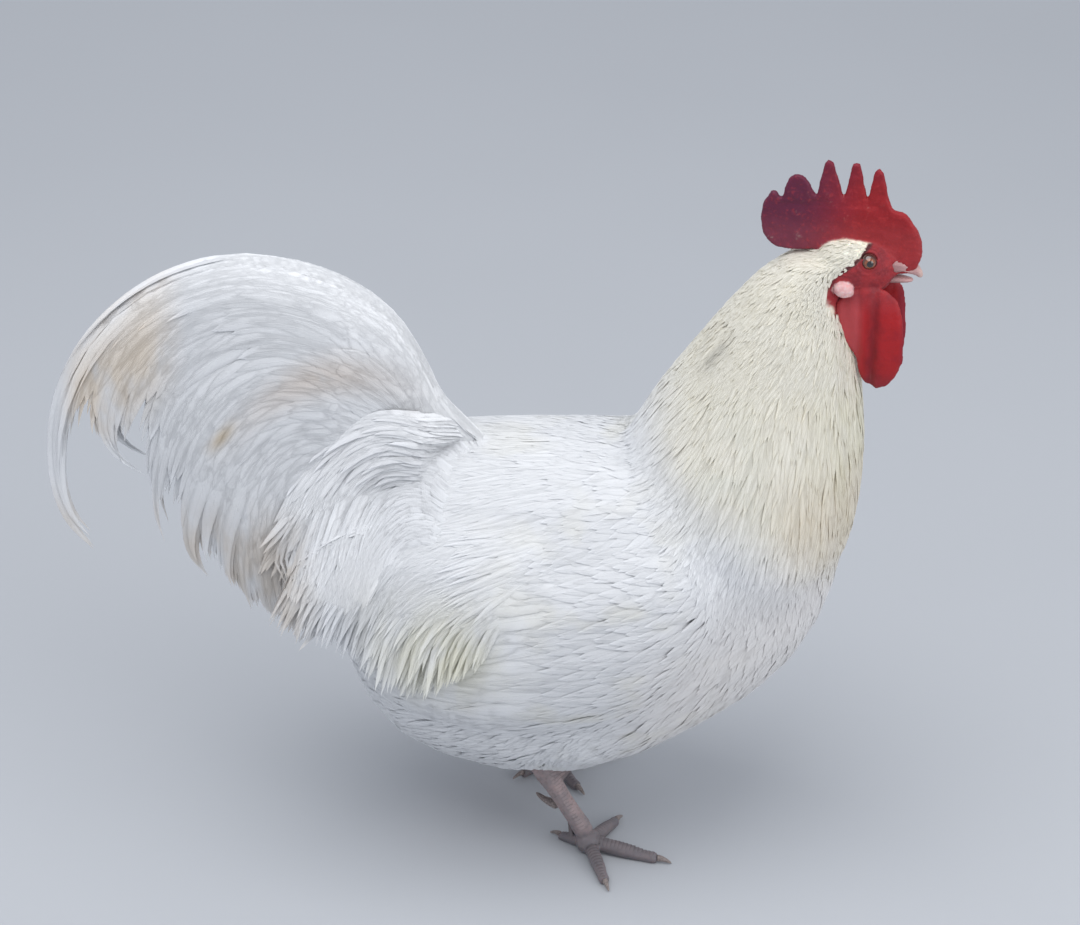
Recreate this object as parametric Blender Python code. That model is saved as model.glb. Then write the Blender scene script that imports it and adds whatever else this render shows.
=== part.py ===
"""A white rooster standing on both feet, life size: one closed solid for each named part.

+X is the way the bird faces, +Y its left side and +Z up. The origin is on the floor, under the middle of
its box. Lengths are in metres.
"""

import math

import bmesh
import bpy
import numpy as np
from mathutils import Matrix, Vector

# ---- driving dimensions -------------------------------------------------------------------------
GAP = 0.0006  # left between two neighbours where one is cut by the other
SIDES = {"left": 1, "right": -1}
HEAD_PIVOT = Vector((0.262, 0.0, 0.474))  # where the skull sits on the neck
HEAD_TURN = math.radians(-9)  # the head looks a little to the bird's right
STANCE = 0.057  # each foot from the middle plane
STRIDE = {"left": -0.030, "right": 0.0}  # the left foot stands a little behind
TOE_OUT = math.radians(13)  # each foot turns outwards
FORWARD = 0.00302  # moves the finished bird, so that the middle of its box is over the origin

PALETTE = {
    "plumage_white": ((0.84, 0.85, 0.86), 0.75),
    "plumage_cream": ((0.80, 0.76, 0.62), 0.75),
    "comb_red": ((0.55, 0.03, 0.04), 0.45),
    "face_red": ((0.52, 0.05, 0.05), 0.55),
    "lobe_white": ((0.83, 0.66, 0.62), 0.5),
    "horn": ((0.74, 0.66, 0.54), 0.35),
    "leg_scale": ((0.48, 0.37, 0.32), 0.55),
    "eye": ((0.30, 0.10, 0.03), 0.1),
}


# ---- tools --------------------------------------------------------------------------------------
def clear_scene():
    for old in list(bpy.data.objects):
        bpy.data.objects.remove(old)


def new_collection(name):
    made = bpy.data.collections.new(name)
    bpy.context.scene.collection.children.link(made)
    return made


def make_material(name):
    colour, rough = PALETTE[name]
    made = bpy.data.materials.new(name)
    made.use_nodes = True
    shader = made.node_tree.nodes["Principled BSDF"]
    shader.inputs["Base Color"].default_value = (*colour, 1.0)
    shader.inputs["Roughness"].default_value = rough
    return made


def along(rows, t):
    """The row at t, from 0 to 1, of a smooth curve through rows that are evenly spaced in t."""
    rows = np.asarray(rows, float)
    last = len(rows) - 1
    place = min(max(t, 0.0), 1.0) * last
    i = min(int(place), last - 1)
    u = place - i
    before = rows[max(i - 1, 0)]
    after = rows[min(i + 2, last)]
    a, b = rows[i], rows[i + 1]
    return 0.5 * (
        2 * a
        + (b - before) * u
        + (2 * before - 5 * a + 4 * b - after) * u**2
        + (3 * a - before - 3 * b + after) * u**3
    )


def rounded(t, start, end):
    """1 along the middle of a form, falling to 0 as a quarter circle over its first and last share."""
    near = min(t / start, 1.0) if start else 1.0
    far = min((1 - t) / end, 1.0) if end else 1.0
    return math.sqrt(max(0.0, 1 - (1 - near) ** 2)) * math.sqrt(max(0.0, 1 - (1 - far) ** 2))


def bent(value, power):
    return math.copysign(abs(value) ** power, value)


def ball(name, around, rings):
    """A unit ball with its poles on Z, in the part's collection."""
    bpy.ops.mesh.primitive_uv_sphere_add(segments=around, ring_count=rings, radius=1)
    made = bpy.context.object
    made.name = made.data.name = name
    for holder in list(made.users_collection):
        holder.objects.unlink(made)
    ROOSTER.objects.link(made)
    return made


def tidy(mesh):
    """Merges doubled points and splits the faces into triangles, so that every copy has the same ones."""
    shape = bmesh.new()
    shape.from_mesh(mesh)
    bmesh.ops.remove_doubles(shape, verts=shape.verts, dist=1e-5)
    bmesh.ops.triangulate(shape, faces=shape.faces)
    shape.to_mesh(mesh)
    shape.free()


def finish(piece, material):
    tidy(piece.data)
    piece.data.materials.append(MATERIALS[material])
    piece.data.shade_smooth()
    return piece


def soft_form(name, rows, material, around, rings, across=(0, 1, 0), ends=(0.15, 0.15), square=2.0, facing=None):
    """A round-ended form that follows rows of (x, y, z, half width, half depth).

    The width lies along the direction across. Each section stands square to the path, or to the
    direction facing where one is given.
    """
    piece = ball(name, around, rings)
    step = 0.01
    for vertex in piece.data.vertices:
        turn = math.acos(max(-1.0, min(1.0, vertex.co.z))) / math.pi
        t = 0.5 * turn + 0.25 * (1 - math.cos(math.pi * turn))
        row = along(rows, t)
        heading = Vector(facing or (along(rows, t + step) - along(rows, t - step))[:3]).normalized()
        side = Vector(across) - heading * heading.dot(Vector(across))
        side.normalize()
        deep = side.cross(heading)
        angle = math.atan2(vertex.co.y, vertex.co.x)
        size = rounded(t, *ends)
        wide = bent(math.cos(angle), 2 / square) * row[3] * size
        tall = bent(math.sin(angle), 2 / square) * row[4] * size
        if abs(vertex.co.z) > 0.99999:
            wide = tall = 0.0
        vertex.co = Vector(row[:3]) + side * wide + deep * tall
    face_out(piece)
    return finish(piece, material)


def face_out(piece):
    """Turns a mesh the right way out if its signed volume is negative."""
    mesh = piece.data
    mesh.calc_loop_triangles()
    points = np.array([v.co for v in mesh.vertices])
    corners = points[[tuple(f.vertices) for f in mesh.loop_triangles]]
    if np.linalg.det(corners).sum() < 0:
        mesh.flip_normals()


def copy_of(source, name, grow):
    """A hidden copy of a finished form, grown outwards, that cuts or joins another."""
    made = bpy.data.objects.new(name, source.data.copy())
    made.matrix_world = source.matrix_world
    CUTTERS.objects.link(made)
    made.hide_render = True
    made.display_type = "WIRE"
    if grow:
        normals = [v.normal.copy() for v in made.data.vertices]
        for vertex, normal in zip(made.data.vertices, normals):
            vertex.co += normal * grow
    return made


def cut(piece, *neighbours):
    """Takes the neighbours' space, and a thin gap round it, out of piece."""
    for other in neighbours:
        trim = piece.modifiers.new("cut by " + other.name, "BOOLEAN")
        trim.operation = "DIFFERENCE"
        trim.solver = "EXACT"
        trim.object = copy_of(other, f"{other.name} out of {piece.name}", GAP)


def join(piece, *others):
    """Makes others part of piece, and takes them out of the model as objects of their own."""
    for other in others:
        weld = piece.modifiers.new("joined to " + other.name, "BOOLEAN")
        weld.operation = "UNION"
        weld.solver = "EXACT"
        weld.object = other
        ROOSTER.objects.unlink(other)
        CUTTERS.objects.link(other)
        other.hide_render = True
        other.display_type = "WIRE"


def bake(piece):
    """Applies the modifiers of piece, so that its finished form can cut a neighbour."""
    bpy.context.view_layer.update()
    graph = bpy.context.evaluated_depsgraph_get()
    made = bpy.data.meshes.new_from_object(piece.evaluated_get(graph))
    piece.modifiers.clear()
    piece.data = made


def turn_with_head(piece):
    swing = Matrix.Translation(HEAD_PIVOT) @ Matrix.Rotation(HEAD_TURN, 4, "Z") @ Matrix.Translation(-HEAD_PIVOT)
    piece.data.transform(swing)


# ---- trunk --------------------------------------------------------------------------------------
# Stations along the trunk, from under the tail to the breast: x, y, height of the middle, half width,
# half depth.
TRUNK = [
    (-0.113, 0, 0.222, 0.012, 0.016),
    (-0.098, 0, 0.219, 0.055, 0.071),
    (-0.068, 0, 0.211, 0.084, 0.112),
    (-0.025, 0, 0.208, 0.101, 0.133),
    (0.035, 0, 0.201, 0.108, 0.140),
    (0.095, 0, 0.2045, 0.110, 0.1365),
    (0.150, 0, 0.217, 0.104, 0.121),
    (0.200, 0, 0.231, 0.092, 0.104),
    (0.240, 0, 0.249, 0.074, 0.083),
    (0.264, 0, 0.267, 0.050, 0.052),
    (0.279, 0, 0.281, 0.010, 0.012),
]
TRUNK_SQUARE = 2.4


def trunk_side(x, z):
    """How far the trunk's flank is from the middle plane at this place along it and this height."""
    stations = [row[0] for row in TRUNK]
    t = np.interp(x, stations, np.linspace(0, 1, len(TRUNK)))
    row = along(TRUNK, float(t))
    rise = min(0.96, abs(z - row[2]) / row[4])
    return row[3] * (1 - rise**TRUNK_SQUARE) ** (1 / TRUNK_SQUARE)


def make_trunk():
    return soft_form("trunk", TRUNK, "plumage_white", 20, 15, ends=(0.02, 0.02), square=TRUNK_SQUARE, facing=(1, 0, 0))


# ---- neck and head ------------------------------------------------------------------------------
NECK = [
    (0.190, 0, 0.222, 0.040, 0.030),
    (0.194, 0, 0.240, 0.090, 0.072),
    (0.197, 0, 0.275, 0.096, 0.087),
    (0.1965, 0, 0.318, 0.088, 0.0915),
    (0.203, 0, 0.360, 0.072, 0.084),
    (0.2145, 0, 0.400, 0.056, 0.0675),
    (0.224, 0, 0.440, 0.041, 0.048),
    (0.234, 0, 0.474, 0.028, 0.030),
    (0.252, 0, 0.498, 0.019, 0.020),
]
HEAD = [
    (0.240, 0, 0.483, 0.012, 0.013),
    (0.254, 0, 0.483, 0.0175, 0.022),
    (0.270, 0, 0.484, 0.0185, 0.0240),
    (0.286, 0, 0.485, 0.0165, 0.0215),
    (0.298, 0, 0.486, 0.0125, 0.0155),
    (0.306, 0, 0.486, 0.0085, 0.0105),
]
EYE_CENTRE = (0.2845, 0.0124, 0.4945)
EYE_RADIUS = 0.0062
UPPER_BEAK = [
    (0.297, 0, 0.4875, 0.0082, 0.0080),
    (0.306, 0, 0.4880, 0.0070, 0.0070),
    (0.314, 0, 0.4865, 0.0051, 0.0054),
    (0.3195, 0, 0.4830, 0.0030, 0.0034),
    (0.3225, 0, 0.4785, 0.0012, 0.0014),
]
LOWER_BEAK = [
    (0.297, 0, 0.4770, 0.0064, 0.0034),
    (0.305, 0, 0.4766, 0.0052, 0.0028),
    (0.312, 0, 0.4762, 0.0036, 0.0020),
    (0.3168, 0, 0.4762, 0.0018, 0.0012),
]


def make_neck():
    return soft_form("neck", NECK, "plumage_cream", 16, 11, ends=(0.02, 0.10), facing=(0, 0, 1))


def make_head():
    head = soft_form("head", HEAD, "face_red", 14, 10, ends=(0.22, 0.25))
    turn_with_head(head)
    return head


def make_eye(side):
    bpy.ops.mesh.primitive_uv_sphere_add(segments=10, ring_count=6, radius=EYE_RADIUS)
    eye = bpy.context.object
    eye.name = f"eye_{side}"
    for holder in list(eye.users_collection):
        holder.objects.unlink(eye)
    ROOSTER.objects.link(eye)
    x, y, z = EYE_CENTRE
    eye.data.transform(Matrix.Translation((x, y * SIDES[side], z)))
    turn_with_head(eye)
    return finish(eye, "eye")


def make_beak():
    upper = soft_form("beak_upper", UPPER_BEAK, "horn", 10, 8, ends=(0.05, 0.12))
    lower = soft_form("beak_lower", LOWER_BEAK, "horn", 8, 6, ends=(0.05, 0.15))
    for piece in (upper, lower):
        turn_with_head(piece)
    return upper, lower


# The comb's outline in the middle plane, as x and z: the blade behind, then the points from back to
# front, then the front edge down to the beak.
COMB_BLADE = [(0.256, 0.492), (0.247, 0.4985), (0.232, 0.4975), (0.218, 0.499), (0.209, 0.507), (0.2065, 0.520)]
COMB_POINTS = [  # valley before the point, its tip, half width of the tip
    ((0.209, 0.531), (0.214, 0.5385), 0.0018),
    ((0.220, 0.534), (0.230, 0.5520), 0.0055),
    ((0.2445, 0.5365), (0.2520, 0.5640), 0.0022),
    ((0.2635, 0.5345), (0.2715, 0.5625), 0.0020),
    ((0.2805, 0.5325), (0.2885, 0.5600), 0.0020),
]
COMB_FRONT = [(0.2975, 0.5310), (0.3080, 0.5265), (0.3165, 0.5140), (0.3205, 0.5000), (0.3165, 0.4875), (0.3060, 0.4835)]
COMB_SEAT = [(0.296, 0.487), (0.276, 0.493)]  # buried in the top of the head
COMB_THICK = (0.0046, 0.0016)  # half thickness at the head and at the tips
COMB_HEIGHT = (0.492, 0.562)


def comb_outline():
    points = list(COMB_BLADE)
    for valley, tip, half in COMB_POINTS:
        points.append(valley)
        points.append((tip[0] - half, tip[1] - 0.003))
        points.append(tip)
        points.append((tip[0] + half, tip[1] - 0.003))
    return points + COMB_FRONT + COMB_SEAT


def make_comb():
    """The outline as a filled flat curve with a rounded rim, thinner towards the points."""
    curve = bpy.data.curves.new("comb", "CURVE")
    curve.dimensions = "2D"
    curve.fill_mode = "BOTH"
    curve.extrude = 0.0012
    curve.bevel_depth = 0.0012
    curve.bevel_resolution = 1
    spline = curve.splines.new("POLY")
    outline = comb_outline()
    spline.points.add(len(outline) - 1)
    for point, (x, z) in zip(spline.points, outline):
        point.co = (x, z, 0, 1)
    spline.use_cyclic_u = True
    flat = bpy.data.objects.new("comb outline", curve)
    bpy.context.scene.collection.objects.link(flat)
    bpy.context.view_layer.update()
    graph = bpy.context.evaluated_depsgraph_get()
    mesh = bpy.data.meshes.new_from_object(flat.evaluated_get(graph))
    bpy.data.objects.remove(flat)
    comb = bpy.data.objects.new("comb", mesh)
    ROOSTER.objects.link(comb)
    tidy(mesh)
    mesh.transform(Matrix.Rotation(math.radians(90), 4, "X"))
    low, high = COMB_HEIGHT
    rim = curve.extrude + curve.bevel_depth
    for vertex in mesh.vertices:
        share = min(1.0, max(0.0, (vertex.co.z - low) / (high - low)))
        vertex.co.y *= (COMB_THICK[0] + (COMB_THICK[1] - COMB_THICK[0]) * share**0.7) / rim
    face_out(comb)
    turn_with_head(comb)
    mesh.materials.clear()
    return finish(comb, "comb_red")


WATTLE = [  # x, y, z, half thickness, half breadth, for the left side
    (0.2830, 0.0135, 0.4750, 0.0028, 0.0130),
    (0.2850, 0.0150, 0.4610, 0.0036, 0.0235),
    (0.2890, 0.0165, 0.4430, 0.0038, 0.0235),
    (0.2950, 0.0160, 0.4250, 0.0034, 0.0185),
    (0.2955, 0.0145, 0.4070, 0.0030, 0.0160),
    (0.2940, 0.0130, 0.3910, 0.0022, 0.0110),
]
LOBE = [
    (0.2605, 0.0170, 0.4735, 0.0030, 0.0045),
    (0.2675, 0.0188, 0.4730, 0.0036, 0.0062),
    (0.2745, 0.0182, 0.4735, 0.0028, 0.0045),
]


def mirrored(rows, side):
    return [(x, y * SIDES[side], z, *sizes) for x, y, z, *sizes in rows]


def make_wattle(side):
    wattle = soft_form(f"wattle_{side}", mirrored(WATTLE, side), "comb_red", 12, 9, ends=(0.1, 0.3))
    turn_with_head(wattle)
    return wattle


def make_earlobe(side):
    lobe = soft_form(f"earlobe_{side}", mirrored(LOBE, side), "lobe_white", 8, 6, ends=(0.4, 0.4))
    turn_with_head(lobe)
    return lobe


# ---- wings and saddle ---------------------------------------------------------------------------
# A flank form hugs the trunk: stations from back to front give x, height of the middle, half height,
# how far it stands out from the trunk.
WING = [
    (-0.092, 0.178, 0.010, 0.004),
    (-0.045, 0.184, 0.036, 0.009),
    (0.012, 0.198, 0.056, 0.012),
    (0.075, 0.214, 0.068, 0.013),
    (0.132, 0.232, 0.064, 0.013),
    (0.178, 0.250, 0.040, 0.009),
]
SADDLE = [
    (-0.150, 0.238, 0.014, 0.010),
    (-0.112, 0.255, 0.036, 0.017),
    (-0.060, 0.248, 0.062, 0.021),
    (0.000, 0.256, 0.054, 0.017),
    (0.058, 0.272, 0.034, 0.008),
]
SUNK = 0.010  # how deep a flank form's inner face lies in the trunk


def flank_form(name, stations, side, narrowest=0.0):
    """A flattened ball laid on the trunk's flank, and no nearer than narrowest to the middle plane."""
    piece = ball(name, 10, 10)
    for vertex in piece.data.vertices:
        turn = math.acos(max(-1.0, min(1.0, vertex.co.z))) / math.pi
        t = 0.5 * turn + 0.25 * (1 - math.cos(math.pi * turn))
        x, middle, half, proud = along(stations, t)
        size = rounded(t, 0.15, 0.2)
        ring = math.hypot(vertex.co.x, vertex.co.y)
        up = vertex.co.x / ring if ring > 1e-5 else 0.0
        out = vertex.co.y / ring if ring > 1e-5 else 0.0
        z = middle + up * half * size
        flank = max(trunk_side(x, z), narrowest)
        depth = proud if out > 0 else SUNK
        vertex.co = Vector((x, SIDES[side] * (flank + out * depth * size), z))
    face_out(piece)
    return finish(piece, "plumage_white")


def make_wing(side):
    return flank_form(f"wing_{side}", WING, side)


def make_saddle(side):
    return flank_form(f"saddle_{side}", SADDLE, side, narrowest=0.060)


# ---- tail ---------------------------------------------------------------------------------------
TAIL_CENTRE = (-0.150, 0.340)
# The fan's outline as x and z: up its front edge, over the top, and back below past the feathers' tips.
TAIL_OUTLINE = [
    (-0.034, 0.385),
    (-0.051, 0.424),
    (-0.076, 0.457),
    (-0.108, 0.479),
    (-0.146, 0.490),
    (-0.184, 0.490),
    (-0.222, 0.480),
    (-0.254, 0.459),
    (-0.274, 0.430),
    (-0.272, 0.396),
    (-0.256, 0.362),
    (-0.250, 0.330),
    (-0.245, 0.304),
    (-0.230, 0.276),
    (-0.214, 0.250),
    (-0.206, 0.240),
    (-0.199, 0.240),
    (-0.187, 0.224),
    (-0.175, 0.202),
    (-0.164, 0.204),
    (-0.156, 0.197),
    (-0.147, 0.190),
    (-0.139, 0.174),
    (-0.126, 0.190),
    (-0.100, 0.210),
    (-0.066, 0.256),
    (-0.044, 0.300),
    (-0.036, 0.345),
]
TAIL_ROOT = (-0.055, 0.290)
TAIL_REACH = 0.27
TAIL_THICK = (0.052, 0.018)  # half thickness at the root and at the far edge
TAIL_FULLNESS = 0.7  # under 1 fills out the rim
# Sickles: the line of each, as x and z, its half width at the root and near the tip, and how far it
# stands from the middle plane at each end.
SICKLES = {
    "main": ([(-0.200, 0.462), (-0.252, 0.438), (-0.291, 0.399), (-0.313, 0.358), (-0.322, 0.316),
              (-0.318, 0.276), (-0.295, 0.242)], 0.0125, 0.0028, (0.004, 0.006)),
    "second": ([(-0.200, 0.445), (-0.240, 0.425), (-0.268, 0.396), (-0.279, 0.358), (-0.269, 0.333),
                (-0.249, 0.317)], 0.0110, 0.0050, (0.007, 0.014)),
    "third": ([(-0.196, 0.362), (-0.214, 0.348), (-0.231, 0.326), (-0.241, 0.303), (-0.243, 0.281),
               (-0.239, 0.258)], 0.0050, 0.0018, (0.016, 0.024)),
    "fourth": ([(-0.150, 0.360), (-0.178, 0.338), (-0.202, 0.306), (-0.217, 0.275), (-0.219, 0.249),
                (-0.207, 0.226)], 0.0125, 0.0040, (0.022, 0.036)),
}
SICKLE_THICK = 0.0016


def make_tail_fan():
    """A ball flattened between the two sides of the fan, with one meridian drawn out to each outline point."""
    fan = ball("tail", len(TAIL_OUTLINE), 10)
    fan.data.transform(Matrix.Rotation(math.radians(90), 4, "X"))
    turn = 2 * math.pi
    for vertex in fan.data.vertices:
        spread = math.hypot(vertex.co.x, vertex.co.z)
        angle = math.atan2(vertex.co.z, vertex.co.x) % turn
        rim = TAIL_OUTLINE[round(angle / turn * len(TAIL_OUTLINE)) % len(TAIL_OUTLINE)]
        x = TAIL_CENTRE[0] + (rim[0] - TAIL_CENTRE[0]) * spread
        z = TAIL_CENTRE[1] + (rim[1] - TAIL_CENTRE[1]) * spread
        away = min(1.0, math.hypot(x - TAIL_ROOT[0], z - TAIL_ROOT[1]) / TAIL_REACH)
        half = TAIL_THICK[0] + (TAIL_THICK[1] - TAIL_THICK[0]) * away
        fullness = math.copysign(abs(vertex.co.y) ** TAIL_FULLNESS, vertex.co.y)
        vertex.co = Vector((x, fullness * half, z))
    face_out(fan)
    return finish(fan, "plumage_white")


def make_sickle(name, side):
    line, broad, narrow, (root, tip) = SICKLES[name]
    last = len(line) - 1
    rows = []
    for i, (x, z) in enumerate(line):
        t = i / last
        y = SIDES[side] * (root + (tip - root) * t)
        rows.append((x, y, z, SICKLE_THICK, broad + (narrow - broad) * t**1.3))
    return soft_form(f"sickle {name} {side}", rows, "plumage_white", 6, 8, ends=(0.1, 0.2))


def make_tail():
    fan = make_tail_fan()
    for side in SIDES:
        join(fan, *[make_sickle(name, side) for name in SICKLES])
    return fan


# ---- legs ---------------------------------------------------------------------------------------
THIGH = [  # x, y, z, half width, half depth, before the stance and the stride are added
    (0.088, -0.006, 0.190, 0.040, 0.062),
    (0.082, -0.002, 0.152, 0.044, 0.062),
    (0.071, 0.002, 0.120, 0.036, 0.047),
    (0.061, 0.001, 0.098, 0.020, 0.025),
    (0.053, 0.000, 0.084, 0.011, 0.013),
]
SHANK = [
    (0.044, 0.0, 0.088, 0.0066, 0.0085),
    (0.049, 0.0, 0.076, 0.0072, 0.0095),
    (0.057, 0.0, 0.060, 0.0058, 0.0072),
    (0.066, 0.0, 0.043, 0.0056, 0.0068),
    (0.075, 0.0, 0.027, 0.0060, 0.0072),
    (0.081, 0.0, 0.015, 0.0078, 0.0088),
]
SPUR = [(0.060, -0.004, 0.040, 0.0042, 0.0042), (0.054, -0.009, 0.039, 0.0036, 0.0036),
        (0.047, -0.014, 0.040, 0.0024, 0.0024), (0.041, -0.018, 0.043, 0.0010, 0.0010)]
FOOT_CENTRE = (0.083, 0.0)
PAD_HEIGHT = 0.0095
# Each toe: its angle from the foot's heading (towards the outer side), length, radius at the root
TOES = {
    "middle": (4.0, 0.0585, 0.0062),
    "outer": (62.0, 0.0495, 0.0056),
    "inner": (-70.0, 0.0430, 0.0056),
    "hind": (-158.0, 0.0290, 0.0050),
}
CLAW_LENGTH = {"middle": 0.013, "outer": 0.012, "inner": 0.012, "hind": 0.012}


def placed(rows, side):
    """Rows moved from the middle plane to a leg's own place."""
    out = SIDES[side]
    return [(x + STRIDE[side], out * (STANCE + y), z, *sizes) for x, y, z, *sizes in rows]


def make_thigh(side):
    return soft_form(f"thigh_{side}", placed(THIGH, side), "plumage_white", 12, 9, ends=(0.2, 0.25))


def make_shank(side):
    return soft_form(f"shank_{side}", placed(SHANK, side), "leg_scale", 10, 10, ends=(0.12, 0.12))


def make_spur(side):
    return soft_form(f"spur_{side}", placed(SPUR, side), "horn", 6, 5, ends=(0.05, 0.2))


def toe_heading(side, toe):
    angle = SIDES[side] * (TOE_OUT + math.radians(TOES[toe][0]))
    return Vector((math.cos(angle), math.sin(angle), 0))


def foot_point(side):
    return Vector((FOOT_CENTRE[0] + STRIDE[side], SIDES[side] * (STANCE + FOOT_CENTRE[1]), 0))


def make_ground():
    """A hidden slab whose top is the floor. It cuts a flat sole on each foot."""
    bpy.ops.mesh.primitive_cube_add(size=1)
    slab = bpy.context.object
    slab.name = slab.data.name = "ground"
    slab.data.transform(Matrix.Translation((0.05, 0, -0.025)) @ Matrix.Diagonal((0.6, 0.6, 0.05, 1)))
    for holder in list(slab.users_collection):
        holder.objects.unlink(slab)
    CUTTERS.objects.link(slab)
    slab.hide_render = True
    slab.display_type = "WIRE"
    return slab


def rest_on_floor(piece, ground):
    sole = piece.modifiers.new("cut flat on the floor", "BOOLEAN")
    sole.operation = "DIFFERENCE"
    sole.solver = "EXACT"
    sole.object = ground


def make_toe(side, toe):
    _, length, radius = TOES[toe]
    heading = toe_heading(side, toe)
    start = foot_point(side)
    rows = []
    joints = 5
    for i in range(joints):
        t = i / (joints - 1)
        knuckle = 1.0 + 0.08 * math.cos(math.pi * i)
        thick = radius * (1.05 - 0.38 * t) * knuckle
        height = thick * 0.86 + PAD_HEIGHT * 0.45 * (1 - t) ** 2
        place = start + heading * (length * t)
        rows.append((place.x, place.y, height, thick, thick))
    across = (-heading.y, heading.x, 0)
    return soft_form(f"toe {toe} {side}", rows, "leg_scale", 7, 7, across, ends=(0.12, 0.12))


def make_foot(side, ground):
    place = foot_point(side)
    rows = [
        (place.x - 0.010, place.y, 0.0075, 0.0080, 0.0075),
        (place.x - 0.001, place.y, 0.0085, 0.0105, 0.0092),
        (place.x + 0.009, place.y, 0.0075, 0.0095, 0.0078),
    ]
    foot = soft_form(f"foot_{side}", rows, "leg_scale", 8, 5, ends=(0.4, 0.4))
    join(foot, *[make_toe(side, toe) for toe in TOES])
    rest_on_floor(foot, ground)
    return foot


def make_claw(side, toe):
    _, length, radius = TOES[toe]
    heading = toe_heading(side, toe)
    reach = CLAW_LENGTH[toe]
    rows = []
    for t in (0.0, 0.33, 0.66, 1.0):
        place = foot_point(side) + heading * (length - 0.0035 + reach * t)
        thick = radius * (0.50 - 0.40 * t)
        height = 0.0042 + 0.0012 * math.sin(math.pi * t) - 0.0030 * t
        rows.append((place.x, place.y, height, thick, thick * 1.15))
    across = (-heading.y, heading.x, 0)
    return soft_form(f"claw_{toe}_{side}", rows, "horn", 6, 5, across, ends=(0.05, 0.15))


# ---- the bird -----------------------------------------------------------------------------------
def build():
    head, neck, trunk = make_head(), make_neck(), make_trunk()
    comb = make_comb()
    upper, lower = make_beak()
    tail = make_tail()
    ground = make_ground()
    cut(upper, comb)
    cut(lower, upper)
    cut(head, comb, upper, lower)
    cut(neck, head, comb)
    cut(trunk, neck)
    for side in SIDES:
        eye, wattle, lobe = make_eye(side), make_wattle(side), make_earlobe(side)
        wing, saddle = make_wing(side), make_saddle(side)
        thigh, shank, spur = make_thigh(side), make_shank(side), make_spur(side)
        foot = make_foot(side, ground)
        claws = [make_claw(side, toe) for toe in TOES]
        cut(wattle, lower)
        cut(head, eye, wattle, lobe)
        cut(neck, wattle, lobe)
        cut(saddle, neck)
        cut(wing, neck, saddle)
        cut(thigh, shank, wing)
        cut(shank, spur)
        cut(foot, shank, *claws)
        cut(trunk, wing, saddle, thigh, shank)
        cut(tail, saddle)
    cut(tail, trunk)
    for piece in list(ROOSTER.objects) + list(CUTTERS.objects):
        piece.data.transform(Matrix.Translation((FORWARD, 0, 0)))


clear_scene()
ROOSTER = new_collection("rooster")
CUTTERS = new_collection("cutters")
MATERIALS = {name: make_material(name) for name in PALETTE}
build()
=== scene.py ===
import math

import bmesh
import bpy
import numpy as np
from mathutils import Matrix, Vector, noise
from mathutils.bvhtree import BVHTree
from mathutils.kdtree import KDTree


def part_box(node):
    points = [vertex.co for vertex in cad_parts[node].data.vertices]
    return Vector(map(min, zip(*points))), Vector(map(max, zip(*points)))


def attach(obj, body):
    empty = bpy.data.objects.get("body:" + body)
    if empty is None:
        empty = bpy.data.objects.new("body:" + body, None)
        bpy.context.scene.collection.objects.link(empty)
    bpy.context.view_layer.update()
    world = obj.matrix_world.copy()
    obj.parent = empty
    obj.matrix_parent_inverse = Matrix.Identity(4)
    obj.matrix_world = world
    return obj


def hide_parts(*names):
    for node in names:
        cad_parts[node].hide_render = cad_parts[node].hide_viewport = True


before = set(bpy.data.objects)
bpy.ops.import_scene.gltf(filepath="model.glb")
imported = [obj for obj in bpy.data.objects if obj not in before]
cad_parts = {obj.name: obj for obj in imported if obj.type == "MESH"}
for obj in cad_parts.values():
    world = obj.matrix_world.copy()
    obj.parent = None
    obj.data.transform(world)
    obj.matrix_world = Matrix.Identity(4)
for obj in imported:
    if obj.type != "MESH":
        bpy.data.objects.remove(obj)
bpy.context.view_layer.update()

# ---- Skin of the body ---------------------------------------------------------------------------
# The hide under the plumage, from the hackle to the thighs. It is one closed bag that lies inside
# the outline of the feathers by their depth, and the neck, wings and legs run into it unbroken.
BODY_NODES = ["neck", "trunk"] + [f"{part}_{side}" for part in ("wing", "saddle", "thigh")
                                  for side in ("left", "right")]
RUMP = Vector((-0.092, 0.0, 0.293))  # the stump that the tail feathers grow from
RUMP_RADII = (0.080, 0.043, 0.060)
BODY_VOXEL = 0.0042
FORM_GROW = 0.0005  # how far the form that the feathers lie on stands outside the nodes
COAT_DEPTH = 0.0065  # from the skin out to the ends of the body's feathers
THIN_COAT = 0.65  # by what share the coat is shallower on the head and at the hocks


def select_only(*objects):
    bpy.ops.object.select_all(action="DESELECT")
    for each in objects:
        each.select_set(True)
    bpy.context.view_layer.objects.active = objects[0]


def use_modifier(piece, kind, **settings):
    """Adds a modifier to piece, sets it up and applies it."""
    select_only(piece)
    made = piece.modifiers.new(kind, kind)
    for name, value in settings.items():
        setattr(made, name, value)
    bpy.ops.object.modifier_apply(modifier=made.name)


def swollen_copy(name, nodes, grow=0.0, also=()):
    """One new object made of merged copies of the named nodes, each point moved out by grow."""
    whole = bmesh.new()
    for source in [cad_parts[node].data for node in nodes] + [each.data for each in also]:
        part = bmesh.new()
        part.from_mesh(source)
        bmesh.ops.remove_doubles(part, verts=part.verts, dist=1e-5)
        part.normal_update()
        for vertex, normal in [(v, v.normal.copy()) for v in part.verts]:
            vertex.co += normal * grow
        stage = bpy.data.meshes.new("stage")
        part.to_mesh(stage)
        part.free()
        whole.from_mesh(stage)
        bpy.data.meshes.remove(stage)
    mesh = bpy.data.meshes.new(name)
    whole.to_mesh(mesh)
    whole.free()
    made = bpy.data.objects.new(name, mesh)
    bpy.context.scene.collection.objects.link(made)
    for each in also:
        bpy.data.objects.remove(each)
    return made


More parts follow.
